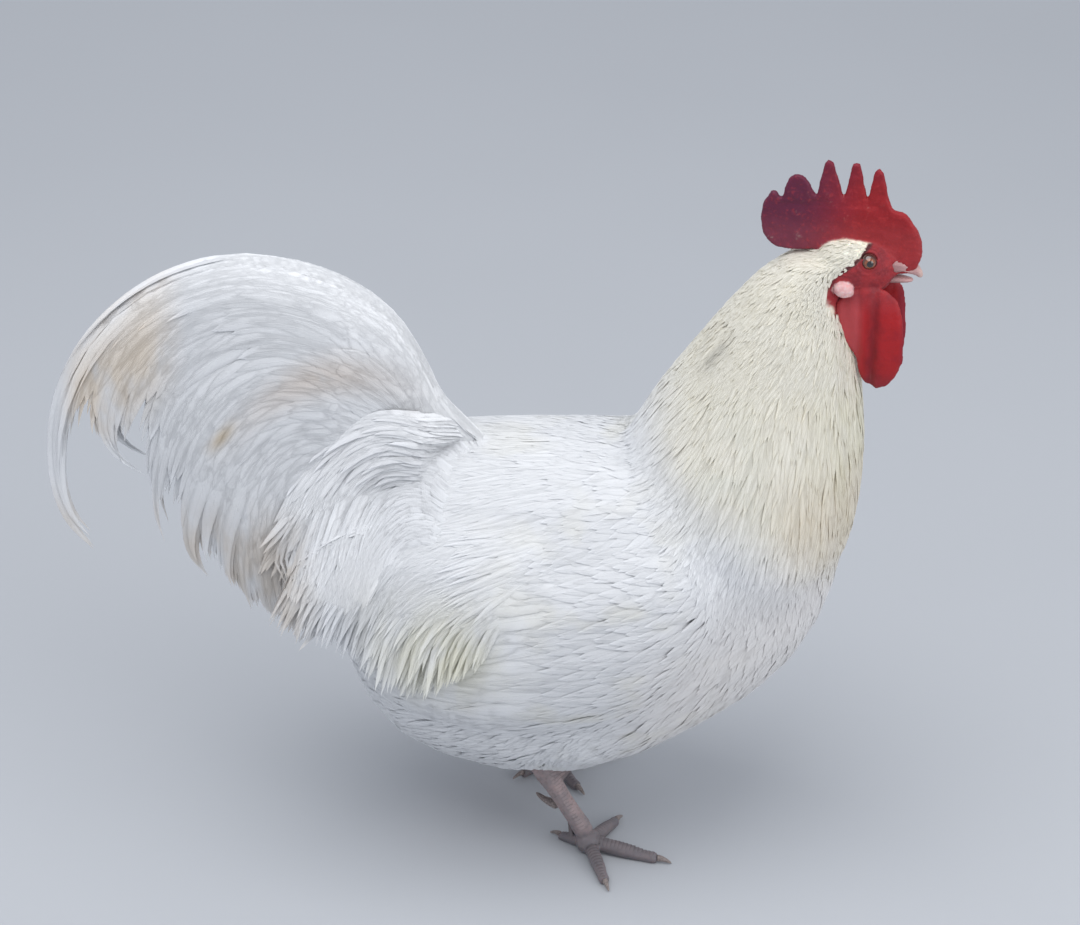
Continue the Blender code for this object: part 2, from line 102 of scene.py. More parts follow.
def points_of(piece):
    """The places of a piece's points, one row for each."""
    found = np.empty(len(piece.data.vertices) * 3, np.float32)
    piece.data.vertices.foreach_get("co", found)
    return found.reshape(-1, 3).astype(float)


def normals_of(piece):
    """The soft normal at each point of a piece."""
    found = np.empty(len(piece.data.vertices) * 3, np.float32)
    piece.data.vertex_normals.foreach_get("vector", found)
    return found.reshape(-1, 3).astype(float)


def move_points(piece, points):
    piece.data.vertices.foreach_set("co", np.asarray(points, np.float32).ravel())
    piece.data.update()


def smooth_step(low, high, value):
    """0 up to low and 1 from high on, with a soft step between them."""
    t = np.clip((value - low) / (high - low), 0.0, 1.0)
    return t * t * (3 - 2 * t)


def ripple(points, size, shift=0.0):
    """Soft noise of about this size at each point, from -1 to 1."""
    return np.array([noise.noise(Vector(p) / size + Vector((shift, 0, 0))) for p in points])


bpy.ops.object.select_all(action="DESELECT")
bpy.ops.mesh.primitive_uv_sphere_add(segments=24, ring_count=16, radius=1, location=RUMP)
rump = bpy.context.object
rump.scale = RUMP_RADII
bpy.ops.object.transform_apply(location=True, rotation=True, scale=True)
form = swollen_copy("form", BODY_NODES + ["head"], FORM_GROW, also=[rump])
use_modifier(form, "REMESH", mode="VOXEL", voxel_size=BODY_VOXEL)
use_modifier(form, "SMOOTH", factor=0.5, iterations=14)

skin = form.copy()
skin.data = form.data.copy()
skin.name = skin.data.name = "skin"
bpy.context.scene.collection.objects.link(skin)
body_points, body_normals = points_of(skin), normals_of(skin)
thin = smooth_step(0.40, 0.475, body_points[:, 2]) * smooth_step(0.10, 0.16, body_points[:, 0])
low = 1 - smooth_step(0.075, 0.115, body_points[:, 2])
inset = COAT_DEPTH * (1 - THIN_COAT * np.maximum(thin, low))
move_points(skin, body_points - body_normals * inset[:, None])


# ---- Skin of the head ---------------------------------------------------------------------------
# The bare face, comb, wattles and ear-lobes: blood-filled skin, warty on the comb, creased round the
# eye and folded down the wattles. The lids are rings of it round each eye.
HEAD_NODES = ["head", "comb", "wattle_left", "wattle_right", "earlobe_left", "earlobe_right"]
HEAD_VOXEL = 0.00096
TURN = math.radians(-9.0)  # the head looks a little to its right, about this place
HEAD_PIVOT = np.array([0.26502, 0.0, 0.474])
# the comb's edge on a head that looks straight on, as x and z: its heel behind, then each valley and
# the point after it, then the front down to the beak
COMB_HEEL = [(0.279, 0.493), (0.259, 0.4925), (0.250, 0.4985), (0.235, 0.4975), (0.221, 0.4985),
             (0.212, 0.506), (0.2092, 0.520)]
COMB_POINTS = [((0.2115, 0.531), (0.2165, 0.5390), 0.0020),
               ((0.2235, 0.5345), (0.2330, 0.5530), 0.0050),
               ((0.2475, 0.5365), (0.2550, 0.5645), 0.0021),
               ((0.2665, 0.5345), (0.2745, 0.5630), 0.0019),
               ((0.2835, 0.5325), (0.2910, 0.5600), 0.0019)]
COMB_FRONT = [(0.2995, 0.5320), (0.3105, 0.5265), (0.3195, 0.5140), (0.3235, 0.5000), (0.3195, 0.4875),
              (0.3090, 0.4835), (0.299, 0.487)]
COMB_SHOULDER = 0.0032  # how far below its tip each point of the comb begins to narrow
COMB_RIM = 0.0012
COMB_HEIGHTS = (0.492, 0.505, 0.530, 0.562)
COMB_SWELL = (0.0046, 0.0034, 0.0024, 0.0015)  # half its thickness at those heights
SKIN_GROW = 0.00045  # how far the bare skin stands outside the nodes
LID_RADIUS = 0.0052
LID_ROLL = 0.00125
LID_OVAL = (1.12, 0.86, 1, 1)  # longer than high
LID_OUT = 0.0030  # how far in front of the eye's middle the lids lie


def eye_frame(side):
    """The eye's middle, and the directions out of it, forwards along the lids and up."""
    low_corner, high_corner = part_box(f"eye_{side}")
    middle = (low_corner + high_corner) / 2
    across = (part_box("eye_left")[0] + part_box("eye_left")[1]
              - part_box("eye_right")[0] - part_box("eye_right")[1])
    out = across.normalized() * (1 if side == "left" else -1)
    forward = Vector((0, 0, 1)).cross(out) * (1 if side == "right" else -1)
    out = (out + forward * 0.22 + Vector((0, 0, 0.10))).normalized()
    forward = (forward - out * forward.dot(out)).normalized()
    return middle, out, forward, out.cross(forward) * (1 if side == "left" else -1)


def smooth_line(rows, count):
    """A smooth curve through the rows of numbers, as count even steps."""
    rows = np.array(rows, float)
    padded = np.concatenate([2 * rows[:1] - rows[1:2], rows, 2 * rows[-1:] - rows[-2:-1]])
    t = np.linspace(0, len(rows) - 1 - 1e-9, 24 * len(rows))
    i, f = t.astype(int), (t % 1)[:, None]
    p, q, r, s = padded[i], padded[i + 1], padded[i + 2], padded[i + 3]
    fine = 0.5 * (2 * q + (r - p) * f + (2 * p - 5 * q + 4 * r - s) * f ** 2
                  + (3 * q - p - 3 * r + s) * f ** 3)
    gone = np.concatenate([[0], np.linalg.norm(np.diff(fine, axis=0), axis=1).cumsum()])
    even = np.linspace(0, gone[-1], count)
    return np.stack([np.interp(even, gone, fine[:, k]) for k in range(fine.shape[1])], 1)


edge = list(COMB_HEEL)
for valley, tip, half_tip in COMB_POINTS:
    shoulder = tip[1] - COMB_SHOULDER
    edge += [valley, (tip[0] - half_tip, shoulder), tip, (tip[0] + half_tip, shoulder)]
drawn = bpy.data.curves.new("comb", "CURVE")
drawn.dimensions, drawn.fill_mode = "2D", "BOTH"
drawn.extrude = drawn.bevel_depth = COMB_RIM
drawn.bevel_resolution = 2
spline = drawn.splines.new("POLY")
edge = smooth_line(edge + COMB_FRONT, 190)
spline.points.add(len(edge) - 1)
for point, (x, z) in zip(spline.points, edge):
    point.co = (x, z, 0, 1)
spline.use_cyclic_u = True
comb = bpy.data.objects.new("comb", drawn)
bpy.context.scene.collection.objects.link(comb)
select_only(comb)
bpy.ops.object.convert(target="MESH")
comb = bpy.context.object
comb.data.transform(Matrix.Rotation(math.radians(90), 4, "X"))
comb_points = points_of(comb)
swell = np.interp(comb_points[:, 2], COMB_HEIGHTS, COMB_SWELL)
wave = 0.0016 * np.sin(comb_points[:, 0] / 0.0135) * smooth_step(0.505, 0.55, comb_points[:, 2])
comb_points[:, 1] = comb_points[:, 1] * swell / (2 * COMB_RIM) + wave
move_points(comb, comb_points)
comb.data.transform(Matrix.Translation(HEAD_PIVOT) @ Matrix.Rotation(TURN, 4, "Z")
                    @ Matrix.Translation(-HEAD_PIVOT))


def tree_on(piece):
    """A search tree over the faces of a piece."""
    faces = [tuple(face.vertices) for face in piece.data.polygons]
    return BVHTree.FromPolygons(points_of(piece).tolist(), faces)


comb_tree = tree_on(comb)

lids = []
for side in ("left", "right"):
    middle, out, forward, up = eye_frame(side)
    bpy.ops.object.select_all(action="DESELECT")
    bpy.ops.mesh.primitive_torus_add(major_segments=32, minor_segments=10, major_radius=LID_RADIUS,
                                     minor_radius=LID_ROLL)
    lid = bpy.context.object
    place = Matrix((forward, up, out)).transposed().to_4x4()
    lid.data.transform(Matrix.Translation(middle + out * LID_OUT) @ place @ Matrix.Diagonal(LID_OVAL))
    lids.append(lid)
head = swollen_copy("head skin", [node for node in HEAD_NODES if node != "comb"], SKIN_GROW,
                    also=lids + [comb])
use_modifier(head, "REMESH", mode="VOXEL", voxel_size=HEAD_VOXEL)
use_modifier(head, "SMOOTH", factor=0.5, iterations=4)
# where the comb and the wattles leave the head, the skin runs on in one soft curve
joint = head.vertex_groups.new(name="joint")
for vertex in head.data.vertices:
    x, y, z = vertex.co
    if 0.276 < x < 0.313 and 0.455 < z < 0.4815:
        joint.add([vertex.index], 1.0, "REPLACE")
    elif 0.255 < x and 0.489 < z < 0.512:
        joint.add([vertex.index], 0.5, "REPLACE")
use_modifier(head, "SMOOTH", factor=0.5, iterations=45, vertex_group="joint")


def tree_of(*nodes):
    """A search tree over merged copies of the named nodes."""
    stage = swollen_copy("stage", nodes)
    made = tree_on(stage)
    bpy.data.objects.remove(stage)
    return made


def distance_to(tree, points):
    """How far each point is from the surface in the tree."""
    return np.array([tree.find_nearest(Vector(p))[3] for p in points])


wattle_tree = tree_of("wattle_left", "wattle_right")
lobe_tree = tree_of("earlobe_left", "earlobe_right")
head_points, head_normals = points_of(head), normals_of(head)
# warts on the comb, long folds down the wattles and creases on the bare face
near_comb = 1 - smooth_step(0.0006, 0.0030, distance_to(comb_tree, head_points))
near_wattle = 1 - smooth_step(0.0006, 0.0030, distance_to(wattle_tree, head_points))
near_lobe = 1 - smooth_step(0.0006, 0.0016, distance_to(lobe_tree, head_points))
bare = np.clip(1 - near_comb - near_wattle - near_lobe, 0, 1)
warts = np.abs(ripple(head_points, 0.0019)) * 0.00055 + ripple(head_points, 0.007, 5.0) * 0.0007
drift = 0.0016 * ripple(head_points * [0.3, 1, 1], 0.020, 9.0)
folds = (0.0007 * ripple(head_points * [1, 1, 0.3], 0.0065, 29.0)
         - 0.0016 * np.exp(-((head_points[:, 0] + drift - 0.2905) / 0.0026) ** 2)
         - 0.0009 * np.exp(-((head_points[:, 0] - drift - 0.2795) / 0.0020) ** 2))
creases = np.abs(ripple(head_points * [1, 1, 1.8], 0.0042, 17.0)) * 0.0011 - 0.0003
pushed = near_comb * warts + near_wattle * (folds + warts * 0.4) + bare * creases
# the lids stay smooth, with a roll and a groove of skin round them
for side in ("left", "right"):
    middle = eye_frame(side)[0]
    far = np.linalg.norm(head_points - np.array(middle), axis=1)
    pushed *= smooth_step(0.0060, 0.0095, far)
    pushed += (0.0005 * np.exp(-((far - 0.0098) / 0.0009) ** 2)
               - 0.0004 * np.exp(-((far - 0.0083) / 0.0008) ** 2))
move_points(head, head_points + head_normals * pushed[:, None])

# ---- Skin of the shanks and feet ----------------------------------------------------------------
# The scaly hide of the legs below the feathers, drawn tight over bone and tendon, with a swelling at
# each joint of the toes. It joins the skin of the thigh out of sight, above the hock.
LEG_VOXEL = 0.0011

legs = []
for side in ("left", "right"):
    leg = swollen_copy(f"leg skin {side}", [f"shank_{side}", f"foot_{side}"], SKIN_GROW)
    use_modifier(leg, "REMESH", mode="VOXEL", voxel_size=LEG_VOXEL)
    use_modifier(leg, "SMOOTH", factor=0.5, iterations=3)
    legs.append(leg)
for part in [head] + legs:
    use_modifier(skin, "BOOLEAN", object=part, operation="UNION", solver="EXACT")
    bpy.data.objects.remove(part)


# ---- Paints of the skin -------------------------------------------------------------------------
# Under the feathers the hide is as white as they are. The comb and wattles are scarlet with dark tips,
# the bare face is darker and creased, the ear-lobes are pink and white, and the legs a greyish pink.
class Wire:
    """One output of a material's nodes, on which Python's arithmetic adds Math nodes."""

    def __init__(self, socket):
        self.socket = socket

    def make(self, kind, settings=None, inputs=None, output=0):
        """Adds a node of this kind beside this one and gives one of its outputs."""
        node = self.socket.id_data.nodes.new(kind)
        for name, value in (settings or {}).items():
            if name == "stops":
                ramp = node.color_ramp.elements
                while len(ramp) < len(value):
                    ramp.new(0.5)
                for element, (position, colour) in zip(ramp, value):
                    element.position, element.color = position, (*colour, 1)
            else:
                setattr(node, name, value)
        for name, value in (inputs or {}).items():
            self.feed(node.inputs[name], value)
        return Wire(node.outputs[output])

    def feed(self, socket, value):
        if isinstance(value, Wire):
            self.socket.id_data.links.new(value.socket, socket)
        elif socket.type == "RGBA":
            socket.default_value = (*value, 1)
        else:
            socket.default_value = value

    def math(self, operation, first, second=0.0):
        return self.make("ShaderNodeMath", {"operation": operation}, {0: first, 1: second})

    def vector(self, operation, second):
        return self.make("ShaderNodeVectorMath", {"operation": operation}, {0: self, 1: second},
                         1 if operation in ("DOT_PRODUCT", "DISTANCE", "LENGTH") else 0)

    def __add__(self, other):
        return self.math("ADD", self, other)

    def __radd__(self, other):
        return self.math("ADD", other, self)

    def __sub__(self, other):
        return self.math("SUBTRACT", self, other)

    def __rsub__(self, other):
        return self.math("SUBTRACT", other, self)

    def __mul__(self, other):
        return self.math("MULTIPLY", self, other)

    def __rmul__(self, other):
        return self.math("MULTIPLY", other, self)

    def __abs__(self):
        return self.math("ABSOLUTE", self)

    def fade(self, start, end):
        """A soft step: 0 up to start and 1 from end on, or the other way round if end is less."""
        return self.make("ShaderNodeMapRange", {"interpolation_type": "SMOOTHSTEP"},
                         {0: self, 1: min(start, end), 2: max(start, end),
                          3: float(start > end), 4: float(start < end)})

    def near(self, middle, reach):
        """1 where this value is middle, falling softly to 0 at reach from it."""
        return abs(self - middle).fade(reach, 0.0)

    def noise(self, size, detail=2.0, stretch=(1, 1, 1)):
        """Soft noise, from about 0.2 to 0.8, with blotches of this size in metres at these places."""
        places = self.vector("MULTIPLY", tuple(k / size for k in stretch))
        return self.make("ShaderNodeTexNoise", None, {"Vector": places, "Scale": 1.0, "Detail": detail})

    def parts(self):
        """The three numbers of a vector."""
        split = self.make("ShaderNodeSeparateXYZ", None, {0: self}).socket.node
        return [Wire(output) for output in split.outputs]

    def carried(self, name):
        """The three numbers that a piece's mesh carries under this name."""
        return self.make("ShaderNodeAttribute", {"attribute_name": name}, output=1).parts()


def layered(under, *layers):
    """The colour under, and each layer's colour laid over it by that layer's mask."""
    for mask, colour in layers:
        under = mask.make("ShaderNodeMix", {"data_type": "RGBA"}, {0: mask, 6: under, 7: colour}, 2)
    return under


def tinted(colour, amount):
    """The colour times a number at each point."""
    grey = amount.make("ShaderNodeCombineColor", None, {0: amount, 1: amount, 2: amount})
    return colour.make("ShaderNodeMix", {"data_type": "RGBA", "blend_type": "MULTIPLY"},
                       {0: 1.0, 6: colour, 7: grey}, 2)


def new_paint(name, **uniform):
    """A material with these numbers on its shader, and its Object coordinates."""
    paint = bpy.data.materials.new(name)
    paint.use_nodes = True
    shader = paint.node_tree.nodes["Principled BSDF"]
    for key, value in uniform.items():
        shader.inputs[key.replace("_", " ")].default_value = value
    start = paint.node_tree.nodes.new("ShaderNodeTexCoord")
    return paint, Wire(start.outputs["Object"])


def finish_paint(paint, colour, roughness=None, height=None, depth=0.001, strength=1.0):
    """Joins a colour, a roughness and the height of a bump, in units of depth, to the shader."""
    shader = paint.node_tree.nodes["Principled BSDF"]
    colour.feed(shader.inputs["Base Color"], colour)
    if roughness is not None:
        colour.feed(shader.inputs["Roughness"], roughness)
    if height is not None:
        bump = colour.make("ShaderNodeBump", None,
                           {"Strength": strength, "Distance": depth, "Height": height})
        colour.feed(shader.inputs["Normal"], bump)


WHITE = (0.84, 0.85, 0.87)
CREAM = (0.87, 0.81, 0.645)
LEMON = (0.80, 0.76, 0.53)
STRAW = (0.72, 0.61, 0.46)
GREY_GREEN = (0.74, 0.79, 0.76)
ASH = (0.30, 0.29, 0.26)
CLAY = (0.80, 0.77, 0.62)
TAN = (0.83, 0.69, 0.53)
RUST = (0.50, 0.38, 0.25)
FAWN = (0.68, 0.58, 0.50)
OCHRE = (0.50, 0.39, 0.25)
BEIGE = (0.62, 0.52, 0.41)
BLUSH = (0.93, 0.85, 0.78)


def plumage_colour(place):
    """The markings of skin and coat alike, from the place on the body alone."""
    x, y, z = place.parts()
    cloud = place.noise(0.035, 3.0)
    streak = place.noise(0.022, 3.0, (1.0, 1.6, 0.4))
    # the neck: its cape, the throat, the foot of the cape in front, its side and a smudge on the nape
    neck = (x * 0.60 + z).fade(0.385, 0.455) * x.fade(0.105, 0.165)
    front = neck * (x - z * 0.18).fade(0.165, 0.215)
    low_front = neck * x.fade(0.195, 0.245) * z.fade(0.37, 0.30)
    side = neck * x.near(0.185, 0.05) * z.near(0.33, 0.10)
    nape = (x - 0.6 * z).near(-0.0795, 0.010) * z.near(0.425, 0.022) * streak.fade(0.35, 0.6)
    # the body: the ends of the saddle's feathers, soiled patches on the back and wings, and the chest
    ends = (z - 0.12 * x).near(0.222, 0.070) * x.near(-0.025, 0.085) * abs(y).fade(0.045, 0.070)
    soil = place.noise(0.055, 2.0, (1.0, 1.0, 1.4)).fade(0.50, 0.66)
    soil = soil * x.near(0.09, 0.15) * (z + 0.6 * abs(y)).fade(0.375, 0.345)
    chest = (x * 0.5 - z).fade(-0.20, -0.10) * x.fade(0.08, 0.16)
    # the tail: stains on its rear edge, a band and a spot across its side, and the points below
    edge = x.fade(-0.10, -0.17) * (z - 0.95 * x).near(0.652, 0.075)
    edge = edge * x.fade(-0.205, -0.245) * z.fade(0.300, 0.350) * x.fade(-0.312, -0.288)
    middle = x + 0.096
    band = (z + middle * middle * 7.4).near(0.412, 0.027) * x.near(-0.112, 0.095)
    spot = (x * 0.79 - z * 0.61).near(-0.366, 0.009) * (x * 0.61 + z * 0.79).near(0.169, 0.026)
    tips = x.fade(-0.105, -0.15) * z.fade(0.315, 0.255)
    return layered(
        WHITE,
        (neck * (0.60 + 0.4 * cloud), CREAM),
        (front * 0.60 * streak.fade(0.2, 0.7), LEMON),
        (low_front * 0.55, STRAW),
        (side * 0.35 * cloud.fade(0.35, 0.65), GREY_GREEN),
        (nape * 0.65, ASH),
        (ends * 0.66 * streak.fade(0.15, 0.60), LEMON),
        (soil * 0.34, CLAY),
        (edge * 0.80 * streak.fade(0.20, 0.55), TAN),
        (edge * 0.34 * cloud.fade(0.50, 0.70), RUST),
        (band * 0.72 * cloud.fade(0.18, 0.45), FAWN),
        (spot * 0.8, OCHRE),
        (tips * 0.62 * streak.fade(0.25, 0.60), BEIGE),
        (chest * 0.38, BLUSH))


def leg_colour(place):
    """Greyish pink, with darker creases, and greyer on the toes."""
    return layered(
        (0.25, 0.21, 0.215),
        (place.noise(0.010, 3.0).fade(0.3, 0.7), (0.36, 0.275, 0.27)),
        (place.noise(0.0032, 3.0).fade(0.5, 0.75) * 0.4, (0.13, 0.105, 0.105)),
        (place.parts()[2].fade(0.040, 0.008) * 0.65, (0.135, 0.13, 0.145)))


skin_paint, place = new_paint("hide", Specular_IOR_Level=0.25, Subsurface_Weight=0.15, Subsurface_Scale=0.002)
comb_mask, wattle_mask, lobe_mask = place.carried("flesh")
face_mask, dark_skin_and_shadow_mask, leg_mask = place.carried("flesh_more")
x, y, z = place.parts()
grain, blotch, fine = (place.noise(size, 3.0) for size in (0.0012, 0.010, 0.0032))
# dark red, scarlet in blotches, with pink grains
face_colour = layered(
    (0.22, 0.025, 0.033),
    (blotch.fade(0.35, 0.65), (0.34, 0.030, 0.036)),
    (grain.fade(0.55, 0.75) * 0.35, (0.48, 0.09, 0.09)))
# scarlet, purple behind, with painted pinkish light along its root, dark at the points, with bright grains
comb_colour = layered(
    (0.29, 0.014, 0.019),
    ((x - 0.15 * (z - 0.53)).fade(0.285, 0.232), (0.115, 0.018, 0.045)),
    # painted light: a pinkish band along the comb's root
    (z.fade(0.528, 0.508) * 0.12, (0.52, 0.12, 0.12)),
    (z.fade(0.545, 0.560) * 0.40, (0.17, 0.012, 0.030)),
    (fine.fade(0.52, 0.75) * 0.25, (0.55, 0.05, 0.05)))
# scarlet, with painted shade darkening the fold, pinker behind it, dark at the front edge and the foot
wattle_colour = layered(
    (0.37, 0.014, 0.018),
    # painted shade along the groove of the wattle's fold
    ((x + 0.012 * (blotch - 0.5)).near(0.2905, 0.0085) * 0.72, (0.16, 0.008, 0.014)),
    (x.fade(0.285, 0.277) * 0.60, (0.45, 0.085, 0.095)),
    (x.fade(0.3085, 0.3135) * 0.55, (0.15, 0.010, 0.030)),
    (z.fade(0.412, 0.392) * 0.60, (0.18, 0.022, 0.032)),
    (blotch.fade(0.55, 0.72) * 0.30, (0.25, 0.012, 0.025)),
    ((z + 0.010 * (blotch - 0.5)).fade(0.454, 0.470) * 0.8, face_colour))
lobe_colour = layered((0.70, 0.38, 0.38), (fine.fade(0.35, 0.65), (0.78, 0.52, 0.51)))
colour = layered(
    plumage_colour(place),
    (leg_mask, leg_colour(place)),
    (face_mask, face_colour),
    (comb_mask, comb_colour),
    (wattle_mask, wattle_colour),
    (lobe_mask, lobe_colour),
    # dark bare skin and painted shadow along the edge of the head's feathers
    (dark_skin_and_shadow_mask, (0.085, 0.022, 0.024)))
finish_paint(skin_paint, colour, 0.62 - 0.14 * (comb_mask + wattle_mask) + 0.12 * (fine - 0.5),
             grain * 0.6 + fine * 0.6, 0.0006, 0.5)

skin_points = points_of(skin)


def head_places(points):
    """The same places as seen by a head that looks straight on."""
    away = points - HEAD_PIVOT
    cosine, sine = math.cos(TURN), math.sin(TURN)
    x, y, z = away.T
    return np.stack([x * cosine + y * sine, y * cosine - x * sine, z], 1) + HEAD_PIVOT


# where the feathers of the head end: the height, and how far forward they come there
FACE_EDGE = [(0.380, 0.305), (0.395, 0.300), (0.403, 0.2940), (0.409, 0.2920), (0.419, 0.2890), (0.430, 0.2845),
             (0.444, 0.2760), (0.454, 0.2680), (0.466, 0.2575), (0.476, 0.2585), (0.484, 0.2650),
             (0.494, 0.2790), (0.508, 0.2900), (0.520, 0.2960)]


def face_reach(points):
    """How far a place lies in front of the edge of the head's feathers, in metres."""
    straight = head_places(points)
    return straight[:, 0] - np.interp(straight[:, 2], *zip(*FACE_EDGE))


# how much of each kind of flesh there is at each point of the skin
reach = face_reach(skin_points)
on_head = smooth_step(0.372, 0.380, skin_points[:, 2]) * smooth_step(0.195, 0.200, skin_points[:, 0])
comb_part, wattle_part, lobe_part = (
    (1 - smooth_step(0.0009, end, distance_to(tree, skin_points))) * on_head
    for tree, end in ((comb_tree, 0.0026), (wattle_tree, 0.0026), (lobe_tree, 0.0016)))
face_part = on_head * smooth_step(-0.0015, 0.0010, reach)
# the dark line behind the eye, between the feathers and the face: dark bare skin, and painted shadow under the
# edge of the head's feathers
straight = head_places(skin_points)
dark_skin_and_shadow_line = np.interp(straight[:, 0], [0.258, 0.2635, 0.278, 0.290], [0.474, 0.484, 0.4945, 0.508])
dark_skin_and_shadow_part = on_head * (1 - smooth_step(0.0012, 0.0032, np.abs(straight[:, 2] - dark_skin_and_shadow_line)))
dark_skin_and_shadow_part *= smooth_step(0.250, 0.256, straight[:, 0]) * (1 - smooth_step(0.288, 0.293, straight[:, 0]))
dark_skin_and_shadow_part *= (1 - comb_part) * (1 - lobe_part)
leg_part = 1 - smooth_step(0.082, 0.092, skin_points[:, 2])
for name, values in (("flesh", (comb_part, wattle_part, lobe_part)),
                     ("flesh_more", (face_part, dark_skin_and_shadow_part, leg_part))):
    layer = skin.data.attributes.new(name, "FLOAT_VECTOR", "POINT")
    layer.data.foreach_set("vector", np.stack(values, 1).astype(np.float32).ravel())

skin.data.materials.clear()
skin.data.materials.append(skin_paint)
select_only(skin)
bpy.ops.object.shade_smooth()
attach(skin, "root")
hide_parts(*BODY_NODES, *HEAD_NODES, "shank_left", "shank_right", "foot_left", "foot_right")

# ---- Eyes ---------------------------------------------------------------------------------------
# Round eyes with an orange-brown iris and a black pupil under a clear bulging cornea. Each lies in
# its socket behind the ring of the lids.
for side in ("left", "right"):
    middle, out, forward, up = eye_frame(side)
    low_corner, high_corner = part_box(f"eye_{side}")
    radius = (high_corner.z - low_corner.z) / 2
    bpy.ops.object.select_all(action="DESELECT")
    bpy.ops.mesh.primitive_uv_sphere_add(segments=40, ring_count=24, radius=radius, location=middle)
    eye = bpy.context.object
    bpy.ops.object.transform_apply(location=True, rotation=False, scale=False)
    eye.name = eye.data.name = f"eyeball_{side}"
    away = points_of(eye) - np.array(middle)
    facing = away @ np.array(out) / radius
    away *= (0.965 + 0.055 * smooth_step(0.80, 0.95, facing))[:, None]  # the cornea bulges out of the ball
    move_points(eye, away + np.array(middle))
    bpy.ops.object.shade_smooth()
    paint, place = new_paint(f"eye_{side}", Roughness=0.04, Coat_Weight=1.0, Specular_IOR_Level=0.6)
    ray = place.vector("SUBTRACT", tuple(middle)).vector("NORMALIZE", (0, 0, 0))
    turned = ray.vector("DOT_PRODUCT", tuple(out))
    # the iris, its darker rim, the pupil, and the brown side of the ball
    finish_paint(paint, layered(
        (0.15, 0.036, 0.010),
        (place.noise(0.0009, 3.0).fade(0.35, 0.65), (0.30, 0.080, 0.018)),
        (turned.fade(0.80, 0.70), (0.10, 0.025, 0.010)),
        (turned.fade(0.905, 0.925), (0.004, 0.003, 0.003)),
        (turned.fade(0.68, 0.60), (0.06, 0.025, 0.020))))
    eye.data.materials.append(paint)
    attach(eye, "root")
    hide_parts(f"eye_{side}")

# ---- Beak ---------------------------------------------------------------------------------------
# Two sheaths of pale horn over bone. The upper one overhangs the lower, darkens towards its base and
# carries a slit of a nostril on each side, under a flap of skin.
NOSTRIL = Vector((0.3035, 0.0, 0.4868))  # on a head that looks straight on
NOSTRIL_OUT = 0.0068
NOSTRIL_RADII = (0.0024, 0.0016, 0.0009, 1)
NOSTRIL_SLOPE = 0.35
BEAK_VOXEL = 0.00055
for node in ("beak_upper", "beak_lower"):
    beak = swollen_copy(node.replace("beak", "bill"), [node], 0.0002)
    use_modifier(beak, "REMESH", mode="VOXEL", voxel_size=BEAK_VOXEL)
    use_modifier(beak, "SMOOTH", factor=0.5, iterations=3)
    if node == "beak_upper":
        for sign in (-1, 1):
            bpy.ops.object.select_all(action="DESELECT")
            bpy.ops.mesh.primitive_uv_sphere_add(segments=20, ring_count=12, radius=1)
            slit = bpy.context.object
            turn = Matrix.Rotation(TURN, 4, "Z")
            place_there = Matrix.Translation(Vector(HEAD_PIVOT)) @ turn @ Matrix.Translation(
                NOSTRIL + Vector((0, sign * NOSTRIL_OUT, 0)) - Vector(HEAD_PIVOT))
            slit.data.transform(place_there @ Matrix.Rotation(NOSTRIL_SLOPE, 4, "Y")
                                @ Matrix.Diagonal(NOSTRIL_RADII))
            use_modifier(beak, "BOOLEAN", object=slit, operation="DIFFERENCE", solver="EXACT")
            bpy.data.objects.remove(slit)
    select_only(beak)
    bpy.ops.object.shade_smooth()
    paint, place = new_paint(node, Roughness=0.38, Specular_IOR_Level=0.45)
    straight_on = place.vector("DOT_PRODUCT", (math.cos(TURN), math.sin(TURN), 0.0))
    growth = place.noise(0.0012, 3.0, (0.5, 1.0, 2.2))
    # pink horn, darker towards the base and yellower at the point
    colour = layered(
        (0.50, 0.27, 0.27),
        (growth.fade(0.35, 0.7), (0.60, 0.38, 0.35)),
        (straight_on.fade(0.3155, 0.3040) * 0.7, (0.30, 0.15, 0.15)),
        (straight_on.fade(0.3185, 0.3225) * 0.4, (0.66, 0.55, 0.45)))
    finish_paint(paint, colour, 0.34 + 0.2 * growth, growth, 0.0003, 0.4)
    beak.data.materials.append(paint)
    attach(beak, "root")
    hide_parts(node)

# ---- Claws and spurs ----------------------------------------------------------------------------
# Curved cones of horn over the last bone of each toe, and over the core of the spur. They are grey at
# the root and paler and scratched at the point.
CLAW_VOXEL = 0.00075

horn, place = new_paint("claw_horn", Roughness=0.42, Specular_IOR_Level=0.4)
growth = place.noise(0.0014, 3.0, (1.0, 1.0, 1.8))
colour = layered(
    (0.17, 0.14, 0.135),
    (growth.fade(0.35, 0.65), (0.30, 0.25, 0.23)),
    (place.parts()[2].fade(0.004, 0.0005) * 0.5, (0.36, 0.31, 0.27)))
finish_paint(horn, colour, 0.36 + 0.25 * growth, growth, 0.0004, 0.5)
for side in ("left", "right"):
    for node in [f"claw_{toe}_{side}" for toe in ("middle", "outer", "inner", "hind")] + [f"spur_{side}"]:
        claw = swollen_copy(node + "_horn", [node], 0.00015)
        use_modifier(claw, "REMESH", mode="VOXEL", voxel_size=CLAW_VOXEL)
        use_modifier(claw, "SMOOTH", factor=0.5, iterations=2)
        select_only(claw)
        bpy.ops.object.shade_smooth()
        claw.data.materials.append(horn)
        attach(claw, "root")
        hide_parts(node)

# ---- Neck hackle --------------------------------------------------------------------------------
# The cape of the neck: thousands of slim, pointed, silky feathers that grow from the skin behind the
# face and lie over each other like thatch, down to an edge over the shoulders and the breast.
OWNERS = BODY_NODES + ["head"]
PLACES = 110000
CAPE_EDGE = [(0.100, 0.400), (0.123, 0.363), (0.153, 0.314), (0.191, 0.236), (0.236, 0.246), (0.281, 0.290)]
